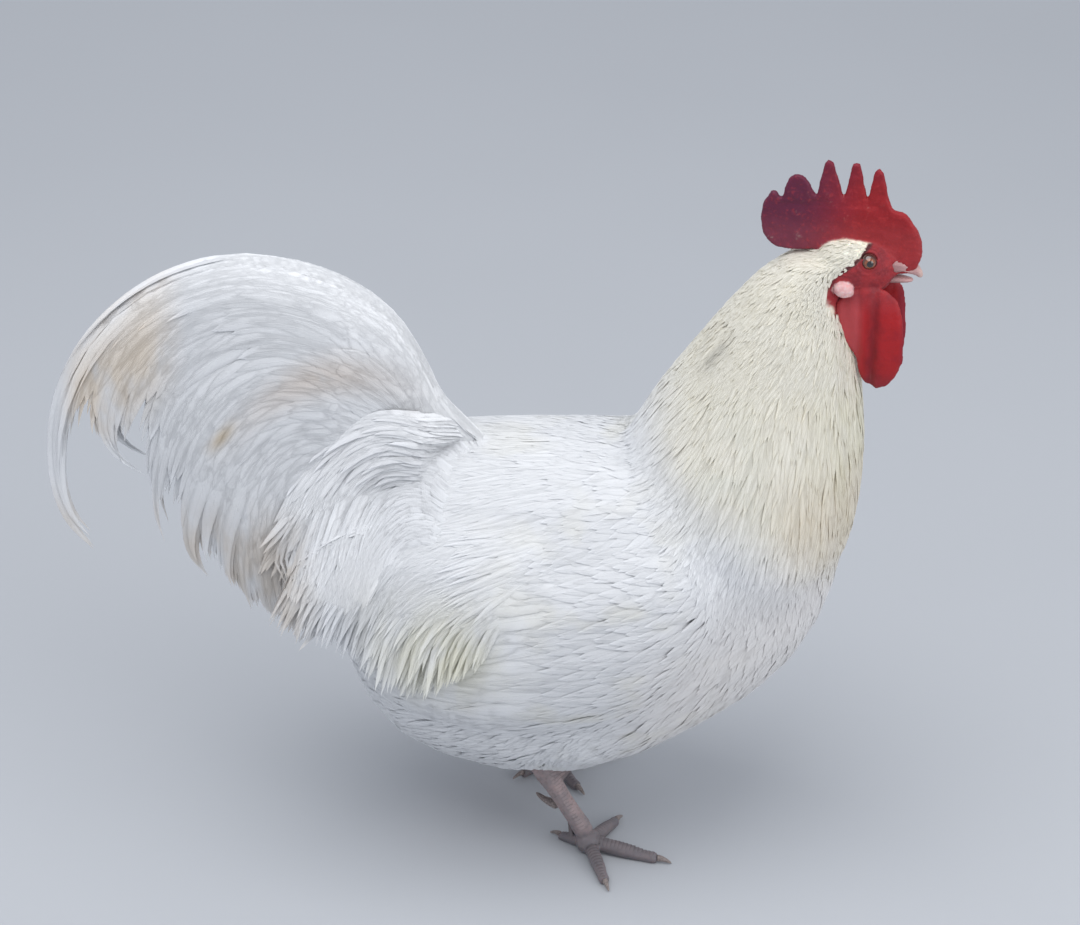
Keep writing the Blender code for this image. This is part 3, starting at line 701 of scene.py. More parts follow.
# each size of the hackle at the foot of the neck, and how much less it is at the head
HACKLE_SPACING, HACKLE_LENGTH = (0.0037, 0.0016), (0.062, 0.040)
HACKLE_HALF_WIDTH, HACKLE_DEPTH = (0.0036, 0.0017), (0.0062, 0.0040)
HACKLE_STEPS = np.array([0, 0.10, 0.28, 0.5, 0.7, 0.86, 1.0])
HACKLE_SHAPE = [(0, 0.3), (0.10, 0.7), (0.3, 1.0), (0.6, 0.92), (0.8, 0.62), (0.93, 0.26), (1, 0)]
BARB_SLANT = 0.9


class Ground:
    """A surface that feathers lie on."""

    def __init__(self, piece):
        self.points, self.tree = points_of(piece), tree_on(piece)
        normals = normals_of(piece)
        soft = np.array([normals[list(face.vertices)].mean(0) for face in piece.data.polygons])
        self.soft = soft / np.linalg.norm(soft, axis=1)[:, None]
        piece.data.calc_loop_triangles()
        corners = np.empty(len(piece.data.loop_triangles) * 3, np.int32)
        piece.data.loop_triangles.foreach_get("vertices", corners)
        self.corners = corners.reshape(-1, 3)

    def nearest(self, places):
        """The nearest places on it, and the soft normals there."""
        hits = [self.tree.find_nearest(place) for place in places.tolist()]
        return np.array([tuple(hit[0]) for hit in hits]), self.soft[[hit[2] for hit in hits]]

    def scatter(self, count, seed):
        """Random places all over it, even by area."""
        chance = np.random.default_rng(seed)
        a, b, c = (self.points[self.corners[:, k]] for k in range(3))
        area = np.linalg.norm(np.cross(b - a, c - a), axis=1)
        chosen = chance.choice(len(area), count, p=area / area.sum())
        s, t = chance.random((2, count, 1))
        s, t = np.where(s + t > 1, 1 - s, s), np.where(s + t > 1, 1 - t, t)
        return self.nearest(a[chosen] + s * (b[chosen] - a[chosen]) + t * (c[chosen] - a[chosen]))


def thinned(places, spacing, seed):
    """The numbers of a random choice of places that lie no nearer to each other than spacing."""
    tree = KDTree(len(places))
    for number, place in enumerate(places.tolist()):
        tree.insert(place, number)
    tree.balance()
    state = np.zeros(len(places), int)  # 1 is kept, 2 is dropped
    for number in np.random.default_rng(seed).permutation(len(places)).tolist():
        if state[number]:
            continue
        for _, other, _ in tree.find_range(places[number], spacing[number]):
            state[other] = state[other] or 2
        state[number] = 1
    return np.flatnonzero(state == 1)


def unit(vectors):
    """The vectors, each made one metre long."""
    return vectors / np.maximum(np.linalg.norm(vectors, axis=-1, keepdims=True), 1e-9)


def laid(ground, roots, ups, lengths, lie, steps, yaw, hang=-2.0):
    """Centre lines that start at the roots and run over the ground, the way the coat lies there. They
    leave it and hang free where it turns down and the rise of its normal is under hang."""
    places, normals = [roots], [ups]
    for _ in range(steps - 1):
        way, up = lie(places[-1]), normals[-1]
        way = unit(way - up * (way * up).sum(1)[:, None])
        way = way * np.cos(yaw)[:, None] + np.cross(up, way) * np.sin(yaw)[:, None]
        ahead = places[-1] + way * (lengths / (steps - 1))[:, None]
        found, soft = ground.nearest(ahead)
        free = ((soft[:, 2] < hang) & (soft[:, 2] < up[:, 2] - 0.05))[:, None]
        places.append(np.where(free, ahead, found))
        normals.append(unit(np.where(free, up, soft + up)))
    return np.stack(places, 1), np.stack(normals, 1)


def restep(lines, ups, steps, kept=1.0):
    """Lines of even steps, given the uneven ones where a feather's shape needs them, and cut off
    after this share of each."""
    count, last = lines.shape[0], lines.shape[1] - 1
    place = np.clip(steps[None] * (kept * np.ones(count))[:, None] * last, 0, last - 1e-6)
    low = place.astype(int)
    share, row = (place - low)[..., None], np.arange(count)[:, None]
    return (lines[row, low] * (1 - share) + lines[row, low + 1] * share,
            unit(ups[row, low] * (1 - share) + ups[row, low + 1] * share))


def raised(lines, ups, steps, depth, lift, power):
    """The lines lifted off the ground: as deep as the skin at the root, and proud by lift at the tip."""
    height = -depth[:, None] + (depth + lift)[:, None] * steps[None] ** power
    return lines + ups * height[..., None]


# a feather's section, as how far across it and how far up each corner lies
SLIM = np.array([(-1, 0), (0, 1), (1, 0), (0, -0.35)])
BROAD = np.array([(-1, 0), (-0.55, 0.8), (0, 1), (0.55, 0.8), (1, 0), (0, -0.25)])
OWN_TILT, OWN_ROUND = 0.3, 0.22  # how much of its own slope and roundness a blade shows in the light
BAKE_PATCH = 0.003  # the size of a feather's patch on the unwrap


def feathers(name, lines, ups, half, thick, bend, tones, section, roots_at):
    """A mesh of closed blades along the lines: half their width, thickness and bend at each point of
    them, one tone for each, and where their roots lie on an unwrap of the skin."""
    count, steps, _ = lines.shape
    k = len(section)
    along = unit(np.gradient(lines, axis=1))
    across = unit(np.cross(along, ups))
    over = np.cross(across, along)
    inner = slice(1, steps - 1)
    wide = half[:, inner, None, None] * section[:, 0][:, None]
    high = (thick[:, inner, None] * section[:, 1] - bend[:, inner, None] * half[:, inner, None]
            * section[:, 0] ** 2)[..., None]
    rings = lines[:, inner, None] + across[:, inner, None] * wide + over[:, inner, None] * high
    points = np.concatenate([lines[:, :1], rings.reshape(count, -1, 3), lines[:, -1:]], 1)
    each = points.shape[1]
    zero = np.zeros((count, 1))
    lengths = np.concatenate([zero, np.linalg.norm(np.diff(lines, axis=1), axis=2).cumsum(1)], 1)
    ring_along = np.repeat(lengths[:, inner], k, axis=1)
    ring_across = (half[:, inner, None] * section[:, 0]).reshape(count, -1)
    s_along = np.concatenate([lengths[:, :1], ring_along, lengths[:, -1:]], 1)
    s_across = np.concatenate([zero, ring_across, zero], 1)

    ring = 1 + np.arange(steps - 2)[:, None] * k + np.arange(k)
    turned = np.roll(ring, -1, axis=1)
    quads = np.stack([ring[:-1], turned[:-1], turned[1:], ring[1:]], -1).reshape(-1, 4)
    starts = np.stack([np.zeros(k, int), turned[0], ring[0]], 1)
    ends = np.stack([ring[-1], turned[-1], np.full(k, each - 1)], 1)
    loops = np.concatenate([quads.ravel(), starts.ravel(), ends.ravel()])
    sizes = np.concatenate([np.full(len(quads), 4), np.full(2 * k, 3)])
    all_loops = (loops + each * np.arange(count)[:, None]).ravel()
    below = np.flatnonzero(section[:, 1] < 0)[0] - 1  # the first side of the section that faces down
    sides = np.concatenate([np.tile(np.arange(k), steps - 3).repeat(4), np.tile(np.arange(k).repeat(3), 2)])
    all_sizes = np.tile(sizes, count)

    mesh = bpy.data.meshes.new(name)
    mesh.vertices.add(count * each)
    mesh.vertices.foreach_set("co", points.astype(np.float32).ravel())
    mesh.loops.add(len(all_loops))
    mesh.loops.foreach_set("vertex_index", all_loops.astype(np.int32))
    mesh.polygons.add(len(all_sizes))
    mesh.polygons.foreach_set("loop_start", (np.cumsum(all_sizes) - all_sizes).astype(np.int32))
    mesh.polygons.foreach_set("use_smooth", np.ones(len(all_sizes), bool))
    mesh.update(calc_edges=True)
    # each blade is lit much as the ground below it is, so that the coat looks soft
    leaning = (over[:, inner, None] * OWN_TILT + ups[:, inner, None]
               + across[:, inner, None] * (OWN_ROUND * section[:, 0])[:, None])
    facing = np.concatenate([ups[:, :1], leaning.reshape(count, -1, 3), ups[:, -1:]], 1).reshape(-1, 3)
    facing = unit(facing)[all_loops]
    facing[np.tile(sides >= below, count)] *= -1
    mesh.normals_split_custom_set(facing.tolist())
    vane = np.stack([s_along, s_across, np.repeat(tones[:, None], each, 1)], -1).reshape(-1, 3)
    layer = mesh.attributes.new("vane", "FLOAT_VECTOR", "POINT")
    layer.data.foreach_set("vector", vane.astype(np.float32).ravel())
    patch = np.stack([roots_at[:, :1] + 0.0014 * s_across / np.abs(s_across).max(1, keepdims=True),
                      roots_at[:, 1:] + BAKE_PATCH * s_along / s_along[:, -1:]], -1).reshape(-1, 2)
    unwrapped = mesh.uv_layers.new(name="OFBake")
    unwrapped.uv.foreach_set("vector", patch[all_loops].astype(np.float32).ravel())
    piece = bpy.data.objects.new(name, mesh)
    bpy.context.scene.collection.objects.link(piece)
    return piece


def unwrap_round(points, foot, head):
    """Where places lie on a tube about the line from foot to head, rolled out flat."""
    foot, head = np.array(foot), np.array(head)
    axis = unit(head - foot)
    first = unit(np.cross(axis, (0.0, 1.0, 0.1)))
    second = np.cross(axis, first)
    away = points - foot
    turn = np.arctan2(away @ second, away @ first) / math.tau + 0.5
    rise = away @ axis / np.linalg.norm(head - foot)
    return np.stack([0.004 + 0.992 * turn, np.clip(0.01 + 0.98 * rise, 0.004, 0.992)], 1)


def outline(count, steps, table):
    """How wide a feather is along its length, from a table of (share of length, share of width)."""
    return np.repeat(np.interp(steps, *zip(*table))[None], count, 0)


def coat_paint(name, **uniform):
    """The paint of feathers: the markings of the skin, with fine barbs that slant off each shaft."""
    paint, place = new_paint(name, Specular_IOR_Level=0.22, Subsurface_Weight=0.35, Subsurface_Scale=0.003,
                             Subsurface_Radius=(1.0, 1.0, 1.0), **uniform)
    along, across, tone = place.carried("vane")
    slant = along - abs(across) * BARB_SLANT
    barbs = place.make("ShaderNodeCombineXYZ", None, {0: slant * 900.0, 1: across * 90.0, 2: tone * 37.0})
    barbs = place.make("ShaderNodeTexNoise", None, {"Vector": barbs, "Scale": 1.0, "Detail": 2.0})
    shaft = abs(across).fade(0.0005, 0.0001)
    colour = tinted(plumage_colour(place), 0.965 + 0.035 * tone + 0.06 * (barbs - 0.5) - 0.02 * shaft)
    finish_paint(paint, colour, 0.62 + 0.14 * (barbs - 0.5), barbs + 0.7 * shaft, 0.0003, 0.35)
    return paint


def add_coat(piece, paint):
    piece.data.materials.append(paint)
    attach(piece, "root")


ground = Ground(form)
# places all over the body where a feather may grow, and the node that each belongs to
candidates, candidate_ups = ground.scatter(PLACES, 3)
at_x, at_y, at_z = candidates.T
owner_faces, owner_points, owner_of = [], [], []
for number, node in enumerate(OWNERS):
    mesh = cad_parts[node].data
    start = len(owner_points)
    owner_points += [tuple(v.co) for v in mesh.vertices]
    owner_faces += [tuple(start + i for i in face.vertices) for face in mesh.polygons]
    owner_of += [number] * len(mesh.polygons)
owner_tree = BVHTree.FromPolygons(owner_points, owner_faces)
owner_of = np.array(owner_of)
candidate_owner = owner_of[[owner_tree.find_nearest(place)[2] for place in candidates.tolist()]]


def owned_by(*parts):
    """Which candidates belong to the parts of these names."""
    wanted = [number for number, node in enumerate(OWNERS) if node.startswith(parts)]
    return np.isin(candidate_owner, wanted)


def above_cape(points):
    """How far a place is above the cape's lower edge."""
    return points[..., 2] - np.interp(points[..., 0], *zip(*CAPE_EDGE))


def up_the_neck(sizes, high):
    """A size of the hackle at this share of the way up the neck."""
    return sizes[0] - sizes[1] * high


def neck_lie(places):
    x, y, _ = places.T
    rear = 1 - smooth_step(0.12, 0.20, x)
    outward = 0.05 * np.sign(y) * smooth_step(0, 0.03, np.abs(y))
    return np.stack([-0.26 - 0.5 * rear, outward, -np.ones(len(x))], 1)


chance = np.random.default_rng(11)
on_neck = np.flatnonzero((above_cape(candidates) > 0.012) & (at_z < 0.482) & (face_reach(candidates) < -0.004)
                         & (owned_by("neck", "head") | (owned_by("trunk") & (at_z > 0.25))))
high = smooth_step(0.36, 0.48, candidates[on_neck, 2])
kept = thinned(candidates[on_neck], up_the_neck(HACKLE_SPACING, high), 12)
roots, root_ups = candidates[on_neck][kept], candidate_ups[on_neck][kept]
high = high[kept]
count = len(roots)
lengths = up_the_neck(HACKLE_LENGTH, high) * chance.uniform(0.85, 1.15, count)
lengths = np.minimum(lengths, above_cape(roots) * 1.05 + chance.uniform(0.002, 0.014, count))
lines, ups = laid(ground, roots, root_ups, lengths, neck_lie, len(HACKLE_STEPS), chance.normal(0, 0.07, count))
lines, ups = restep(lines, ups, HACKLE_STEPS)
lift = chance.uniform(0.0, 0.0007, count) * (1 - 0.6 * high)
lines = raised(lines, ups, HACKLE_STEPS, up_the_neck(HACKLE_DEPTH, high), lift, 0.33)
wide = up_the_neck(HACKLE_HALF_WIDTH, high) * chance.uniform(0.8, 1.2, count)
half = outline(count, HACKLE_STEPS, HACKLE_SHAPE) * wide[:, None]
hackle = feathers("hackle", lines, ups, half, half * 0.09 + 0.0001, np.full_like(half, 0.10),
                  chance.random(count), SLIM, unwrap_round(roots, (0.197, 0, 0.20), (0.25, 0, 0.50)))
cream_paint = coat_paint("hackle_silk", Roughness=0.6)
add_coat(hackle, cream_paint)

# ---- Feathers of the crown and ears -------------------------------------------------------------
# Tiny short feathers that cover the skull from the base of the comb down to the bare face, and thin
# out at its edge. They point back and down, into the hackle.
SKULL_VOXEL = 0.0018
CROWN_PLACES = 150000
CROWN_SPACING = (0.00135, 0.0007)  # by the face, and how much more it is on the nape
CROWN_STEPS = np.linspace(0, 1, 6)


def crown_lie(places):
    straight = head_places(places)
    back = 1 - smooth_step(0.470, 0.500, straight[:, 2])
    return np.stack([-np.ones(len(places)), np.zeros(len(places)), -0.45 - 1.1 * back], 1)


skull = swollen_copy("skull", ["head", "neck"], 0.0004)
use_modifier(skull, "REMESH", mode="VOXEL", voxel_size=SKULL_VOXEL)
use_modifier(skull, "SMOOTH", factor=0.5, iterations=7)
skull_ground = Ground(skull)
places, ups = skull_ground.scatter(CROWN_PLACES, 21)
ragged = 0.436 + 0.056 * (np.random.default_rng(24).random(len(places)) - 0.5)
open_skin = ((places[:, 2] > ragged) & (face_reach(places) < -0.0005)
             & (distance_to(comb_tree, places) > 0.0012) & (distance_to(lobe_tree, places) > 0.0010))
places, ups = places[open_skin], ups[open_skin]
edge = smooth_step(-0.012, 0.0, face_reach(places))
nape = smooth_step(-0.012, -0.036, face_reach(places)) + smooth_step(0.462, 0.440, places[:, 2])
kept = thinned(places, CROWN_SPACING[0] + CROWN_SPACING[1] * np.minimum(nape, 1), 22)
roots, root_ups, edge, nape = places[kept], ups[kept], edge[kept], np.minimum(nape[kept], 1)
count = len(roots)
chance = np.random.default_rng(23)
low = smooth_step(0.452, 0.415, roots[:, 2])
lengths = (0.0088 - 0.0035 * edge + 0.0100 * nape + 0.008 * low) * chance.uniform(0.8, 1.2, count)
lines, ups = laid(skull_ground, roots, root_ups, lengths, crown_lie, len(CROWN_STEPS),
                  chance.normal(0, 0.14, count))
lift = chance.uniform(0.0006, 0.0015, count) * (1 - 0.4 * edge) * (1 - 0.6 * low)
lines = raised(lines, ups, CROWN_STEPS, np.full(count, 0.0006), lift, 0.7)
wide = (0.00110 + 0.0006 * nape) * chance.uniform(0.8, 1.25, count)
half = outline(count, CROWN_STEPS, HACKLE_SHAPE) * wide[:, None]
crown = feathers("crown", lines, ups, half, half * 0.18 + 0.00006, np.full_like(half, 0.15),
                 chance.random(count), SLIM, unwrap_round(roots, (0.250, 0, 0.44), (0.285, 0, 0.53)))
add_coat(crown, cream_paint)
bpy.data.objects.remove(skull)

# ---- Feathers of the breast, back and belly -----------------------------------------------------
# Broad rounded feathers that lie flat like tiles, from the edge of the cape over the breast and
# belly to the vent, and over the back to the saddle. Each is larger than what shows of it.
CONTOUR_STEPS = np.array([0, 0.12, 0.32, 0.55, 0.75, 0.90, 0.97, 1.0])
CONTOUR_SHAPE = [(0, 0.3), (0.12, 0.6), (0.35, 0.95), (0.52, 1.0), (0.70, 0.80), (0.86, 0.44), (0.95, 0.18),
                 (1, 0)]
SHORTEST = 0.3  # a feather is left out if the fringe would leave less than this share of it


def body_lie(places):
    x, y, z = places.T
    front = smooth_step(0.10, 0.25, x)
    vent = 1 - smooth_step(-0.085, -0.02, x)
    return np.stack([-1 + 0.65 * front + 0.3 * vent, 0 * x, -0.35 - 0.65 * front - 0.45 * vent], 1)


def cover(name, chosen, spacing, length, width, lie, seed, steps=CONTOUR_STEPS, shape=CONTOUR_SHAPE,
          section=BROAD, depth=COAT_DEPTH, lift=(0.0, 0.0003), thick=0.02, bend=0.05, yaw=0.12,
          cut=None, hang=-2.0, fringe=None):
    """One piece of coat on the chosen candidates. spacing, length, width and depth are numbers, or
    functions of the roots. lift is a range or such a function, cut gives the most that a feather may be
    long, and fringe is a table of how low its point may come at each x."""
    def value(thing, at):
        return thing(at) if callable(thing) else np.full(len(at), thing)

    found = np.flatnonzero(chosen)
    kept = found[thinned(candidates[found], value(spacing, candidates[found]), seed)]
    roots, root_ups = candidates[kept], candidate_ups[kept]
    count = len(roots)
    chance = np.random.default_rng(seed)
    lengths = value(length, roots) * chance.uniform(0.86, 1.14, count)
    if cut is not None:
        lengths = np.minimum(lengths, cut(roots) + chance.uniform(-0.002, 0.006, count))
    lines, ups = laid(ground, roots, root_ups, lengths, lie, len(steps), chance.normal(0, yaw, count), hang)
    whole = 1.0
    if fringe is not None:
        over = lines[..., 2] - np.interp(lines[..., 0], *zip(*fringe))
        over -= chance.uniform(-0.006, 0.006, count)[:, None]
        crossed = np.argmax(over < 0, axis=1)
        row = np.arange(count)
        before, after = over[row, crossed - 1], over[row, crossed]
        share = (crossed - 1 + before / (before - after + 1e-9)) / (len(steps) - 1)
        whole = np.where(over.min(1) < 0, share, 1.0)
        lines, ups, roots, whole = (values[whole > SHORTEST] for values in (lines, ups, roots, whole))
        count = len(roots)
    lines, ups = restep(lines, ups, steps, whole)
    proud = lift(roots) if callable(lift) else chance.uniform(*lift, count)
    lines = raised(lines, ups, steps, value(depth, roots), proud, 0.25)
    half = outline(count, steps, shape) * (value(width, roots) * chance.uniform(0.88, 1.12, count))[:, None]
    return feathers(name, lines, ups, half, half * thick + 0.00009, np.full_like(half, bend),
                    chance.random(count), section, unwrap_round(roots, (-0.12, 0, 0.22), (0.28, 0, 0.25)))


def body_width(at):
    return 0.0048 + 0.0002 * smooth_step(0.16, 0.02, at[:, 0])


white_paint = coat_paint("contour_white", Roughness=0.66)
below_cape = above_cape(candidates) < 0.030
breast_part = owned_by("trunk", "thigh", "neck") & below_cape & (at_x > 0.085)
breast = cover("breast", breast_part, spacing=0.0047, length=0.035, width=body_width, lie=body_lie, seed=31)
add_coat(breast, white_paint)
back_part = owned_by("trunk", "saddle") & below_cape & (at_x <= 0.10) & (at_z > 0.19)
back = cover("back", back_part, spacing=0.0050, length=0.036, width=body_width, lie=body_lie, seed=32)
add_coat(back, white_paint)

# ---- Fluff of the belly, vent and thighs --------------------------------------------------------
# Soft loose feathers without hooks to their barbs, which stand a little away from each other. They
# hide the folds between leg and belly, and end in short ones at the hock.
SILKY = {"steps": HACKLE_STEPS, "shape": HACKLE_SHAPE, "section": SLIM}


def fluff_lie(places):
    x, y, z = places.T
    far = np.hypot(x - np.where(y < 0, 0.060, 0.030) - 0.3 * (z - 0.10), np.abs(y) - 0.057)
    leg = smooth_step(0.165, 0.125, z) * smooth_step(0.048, 0.026, far)
    return np.stack([-0.95 + 0.7 * leg, 0 * x, -0.30 - 0.8 * leg], 1)


def less_at_hock(most, less):
    """A size of the fluff, less by this at the hock."""
    return lambda at: most - less * smooth_step(0.135, 0.090, at[:, 2])


fluff_part = (owned_by("thigh") | (owned_by("trunk") & (at_z < 0.195))) & (at_x < 0.10) & (at_z > 0.082)
fluff = cover("fluff", fluff_part, spacing=less_at_hock(0.0039, 0.0012), length=less_at_hock(0.028, 0.014),
              width=less_at_hock(0.0039, 0.0022), lie=fluff_lie, seed=41, **SILKY,
              depth=less_at_hock(COAT_DEPTH, 0.0042), lift=(0.0001, 0.0010), thick=0.08, bend=0.10, yaw=0.20,
              cut=lambda at: np.maximum(at[:, 2] - 0.077, 0.006) * 1.3)
add_coat(fluff, white_paint)

behind_part = (owned_by("trunk", "saddle") & (np.abs(at_x + 0.085) < 0.022) & (np.abs(at_z - 0.22) < 0.040)
               & (np.abs(at_y) < 0.062))
behind = cover("rump_fluff", behind_part, spacing=0.0044, length=0.044, width=0.0027,
               lie=lambda places: np.tile((-0.65, 0.0, -0.75), (len(places), 1)), seed=43, **SILKY,
               depth=0.0050, lift=(0.0005, 0.0025), thick=0.09, bend=0.10, yaw=0.20, hang=0.25,
               fringe=[(-0.2, 0.205), (-0.09, 0.195), (-0.06, 0.178)])
add_coat(behind, white_paint)

# ---- Wings --------------------------------------------------------------------------------------
# Each wing is folded against the body. Rows of small coverts on its shoulder grow into large ones,
# and the long stiff secondaries below close over each other towards the tail.
def wing_lie(places):
    x = places[:, 0]
    return np.stack([-np.ones(len(x)), 0 * x, -0.12 - 0.35 * smooth_step(0.10, 0.17, x)], 1)


def more_behind(least, more):
    """A size of the coverts, more by this towards the rear of the wing."""
    return lambda at: least + more * smooth_step(0.165, 0.02, at[:, 0])


for side, sign in (("right", -1), ("left", 1)):
    wing_part = owned_by("wing") & (at_y * sign > 0)
    coverts = cover(f"coverts_{side}", wing_part & (at_x > 0.02), spacing=more_behind(0.0048, 0.0014),
                    length=more_behind(0.034, 0.024), width=more_behind(0.0040, 0.0018), lie=wing_lie, seed=51,
                    lift=(0.0001, 0.0006), yaw=0.09)
    add_coat(coverts, white_paint)
    flights = cover(f"secondaries_{side}", wing_part & (at_x < 0.075), spacing=0.0115, length=0.085,
                    width=0.0088, lie=wing_lie, seed=52, lift=(0.0003, 0.0010), yaw=0.04, thick=0.03,
                    depth=0.0045)
    add_coat(flights, white_paint)

# ---- Saddle hackle ------------------------------------------------------------------------------
# Long slim glossy feathers that fall from the small of the back over the folded wings and the base of
# the tail. Their points hang free in a yellowish fringe.
def saddle_lie(places):
    x, y, z = places.T
    down = np.maximum(smooth_step(0.285, 0.215, z), 0.8 * smooth_step(-0.015, -0.080, x))
    return np.stack([-0.90 + 0.62 * down, 0 * x, -0.42 - 0.60 * down], 1)


# how low the points of the saddle's feathers come at each x; in front this is its edge on the wing
SADDLE_FRINGE = [(-0.170, 0.215), (-0.135, 0.213), (-0.113, 0.208), (-0.093, 0.198), (-0.074, 0.1875),
                 (-0.056, 0.181), (-0.038, 0.185), (-0.015, 0.200), (0.013, 0.226), (0.031, 0.252),
                 (0.048, 0.284), (0.082, 0.322)]


def over_fringe(points):
    """How far a place lies above the saddle's lower edge."""
    return points[:, 2] - np.interp(points[:, 0], *zip(*SADDLE_FRINGE))


def saddle_lift(places):
    """The saddle's feathers stand out a little where they lie over the wing's."""
    x, y, z = places.T
    edge = (1 - smooth_step(0.010, 0.045, over_fringe(places))) * smooth_step(-0.02, 0.02, x)
    edge *= smooth_step(0.072, 0.046, x)
    rump = smooth_step(-0.05, -0.09, x)
    back = smooth_step(0.262, 0.290, z) * smooth_step(-0.04, 0.01, x)
    loose = 0.0004 + 0.0012 * np.random.default_rng(62).random(len(places))
    return loose * (1 - 0.7 * rump) * (1 - 0.75 * back) + 0.0014 * edge


# its front edge is ragged, so that it has no line across the back
saddle_front = np.random.default_rng(63).normal(0.066, 0.018, len(candidates))
for side, sign in (("right", -1), ("left", 1)):
    saddle_part = (owned_by("saddle", "trunk", "wing") & (at_x > -0.128) & (at_x < saddle_front)
                   & (at_y * sign > -0.004) & (over_fringe(candidates) > 0.004) & (candidate_ups[:, 2] > -0.2))
    saddle = cover(f"saddle_hackle_{side}", saddle_part, spacing=0.0038, length=0.068, width=0.0025,
                   lie=saddle_lie, seed=61, **SILKY, depth=0.0045, lift=saddle_lift, thick=0.09, bend=0.10,
                   yaw=0.07, hang=0.0, fringe=SADDLE_FRINGE)
    add_coat(saddle, white_paint)

# ---- Tail ---------------------------------------------------------------------------------------
# Stiff main feathers stand on edge in the middle like a half-open fan, and curved coverts hide them
# on both sides. The longest are the sickles, which arch over the top and hang down behind.

# the lines that its feathers follow on its side, as x and z, from the top arc down to the lowest
TAIL_ARCS = [
    [(.012, .3290), (-.015, .3585), (-.031, .379), (-.0390, .402), (-.061, .441), (-.092, .467), (-.134, .485),
     (-.185, .489), (-.240, .468), (-.285, .425), (-.313, .368), (-.322, .312), (-.316, .270), (-.296, .241)],
    [(-.040, .330), (-.051, .390), (-.088, .436), (-.145, .462), (-.195, .460), (-.238, .436),
     (-.268, .400), (-.279, .360), (-.270, .333), (-.249, .317)],
    [(-.043, .316), (-.060, .370), (-.098, .406), (-.145, .422), (-.190, .408), (-.222, .372),
     (-.240, .325), (-.244, .285), (-.239, .256)],
    [(-.048, .305), (-.070, .345), (-.105, .375), (-.145, .380), (-.180, .357), (-.205, .318),
     (-.219, .275), (-.219, .248), (-.207, .226)],
    [(-.050, .300), (-.075, .330), (-.105, .345), (-.135, .338), (-.160, .310), (-.176, .270),
     (-.180, .235), (-.175, .203)],
    [(-.048, .295), (-.070, .315), (-.095, .318), (-.118, .302), (-.135, .270), (-.144, .235),
     (-.142, .200), (-.138, .174)],
    # the lobe of coverts that falls over the tail's root
    [(.005, .337), (-.020, .361), (-.043, .375), (-.067, .380), (-.092, .373), (-.116, .350), (-.133, .322),
     (-.147, .290), (-.160, .260), (-.171, .236)],
    [(-.006, .332), (-.030, .345), (-.051, .354), (-.072, .354), (-.093, .340), (-.111, .312), (-.124, .280),
     (-.136, .250), (-.144, .226)],
    [(-.014, .315), (-.035, .325), (-.053, .326), (-.070, .319), (-.086, .302), (-.099, .274), (-.109, .244),
     (-.116, .220)],
    [(-.022, .295), (-.038, .300), (-.052, .296), (-.064, .285), (-.075, .266), (-.084, .243), (-.091, .220),
     (-.096, .206)]]
LAST_ARC = 5.0  # the lowest of the tail's own arcs
LOBE_ARCS = (6.0, 9.0)
ARC_STEPS = 64
TAIL_FORWARD = 0.00302  # how far the arcs are moved forwards
TAIL_ROOT = (-0.055 + TAIL_FORWARD, 0.290)
TAIL_LENGTH = 0.27
# how far along each arc the feathers reach
TAIL_ENDS = [(0, 0.90), (0.12, 0.90), (0.3, 0.84), (0.6, 0.84), (0.85, 0.94), (1, 0.97), (1.2, 0.88),
             (1.5, 0.82), (1.85, 0.90), (2, 0.94), (2.2, 0.86), (2.6, 0.84), (3, 0.95), (3.3, 0.90),
             (4, 0.98), (4.4, 0.95), (5, 1.0)]


arc_table = np.stack([smooth_line(arc, ARC_STEPS + 1) for arc in TAIL_ARCS])
arc_table[..., 0] += TAIL_FORWARD


def tail_places(arc, share, sign, layer):
    """Places on the tail's side: on which arc from the top, how far along it, and how far out."""
    row, step = np.clip(arc, 0, len(TAIL_ARCS) - 1.0001), np.clip(share, 0, 0.99999) * ARC_STEPS
    i, j = row.astype(int), step.astype(int)
    f, g = (row - i)[..., None], (step - j)[..., None]
    flat = ((arc_table[i, j] * (1 - g) + arc_table[i, j + 1] * g) * (1 - f)
            + (arc_table[i + 1, j] * (1 - g) + arc_table[i + 1, j + 1] * g) * f)
    far = np.linalg.norm(flat - TAIL_ROOT, axis=-1) / TAIL_LENGTH
    thick = np.interp(far, [0, 0.12, 0.2, 0.3, 0.5, 0.8, 1.0],
                      [0.020, 0.028, 0.034, 0.037, 0.032, 0.021, 0.015])
    width = np.interp(arc, [0, 0.12, 0.3, 0.7, 1.3, 3.0, 5.0, 5.9, 6.0, 6.2, 6.6, 7.2, 8.0, 9.0],
                      [0.10, 0.42, 0.66, 0.90, 1.0, 1.0, 0.80, 0.80, 0.08, 0.60, 1.0, 1.0, 1.15, 1.25])
    # the lobe starts slim and swells out, and the tail springs slim from the back
    later = np.interp(arc, [6.0, 6.8, 7.2, 8.0, 9.0], [0.88, 1.0, 1.0, 1.15, 1.25])
    width = np.where(arc > LAST_ARC + 0.5, width + (later - width) * smooth_step(0.08, 0.25, share),
                     width * np.interp(share, [0, 0.30], [0.28, 1.0]))
    fade = 1 - 0.5 * smooth_step(0.6, 1.0, share) * (1 - smooth_step(3, 4.5, arc))
    return np.stack([flat[..., 0], sign * (thick * width * fade + layer), flat[..., 1]], -1)


def tail_ups(arc, share, sign):
    """The way out of the tail's surface there."""
    low = tail_places(arc, share - 0.01, sign, 0.0)
    high = tail_places(arc, share + 0.01, sign, 0.0)
    own = arc < LAST_ARC + 0.5
    inward = tail_places(np.minimum(arc + 0.12, np.where(own, LAST_ARC, LOBE_ARCS[1])), share, sign, 0.0)
    outward = tail_places(np.maximum(arc - 0.12, np.where(own, 0, LOBE_ARCS[0])), share, sign, 0.0)
    return unit(np.cross(inward - outward, high - low) * sign)


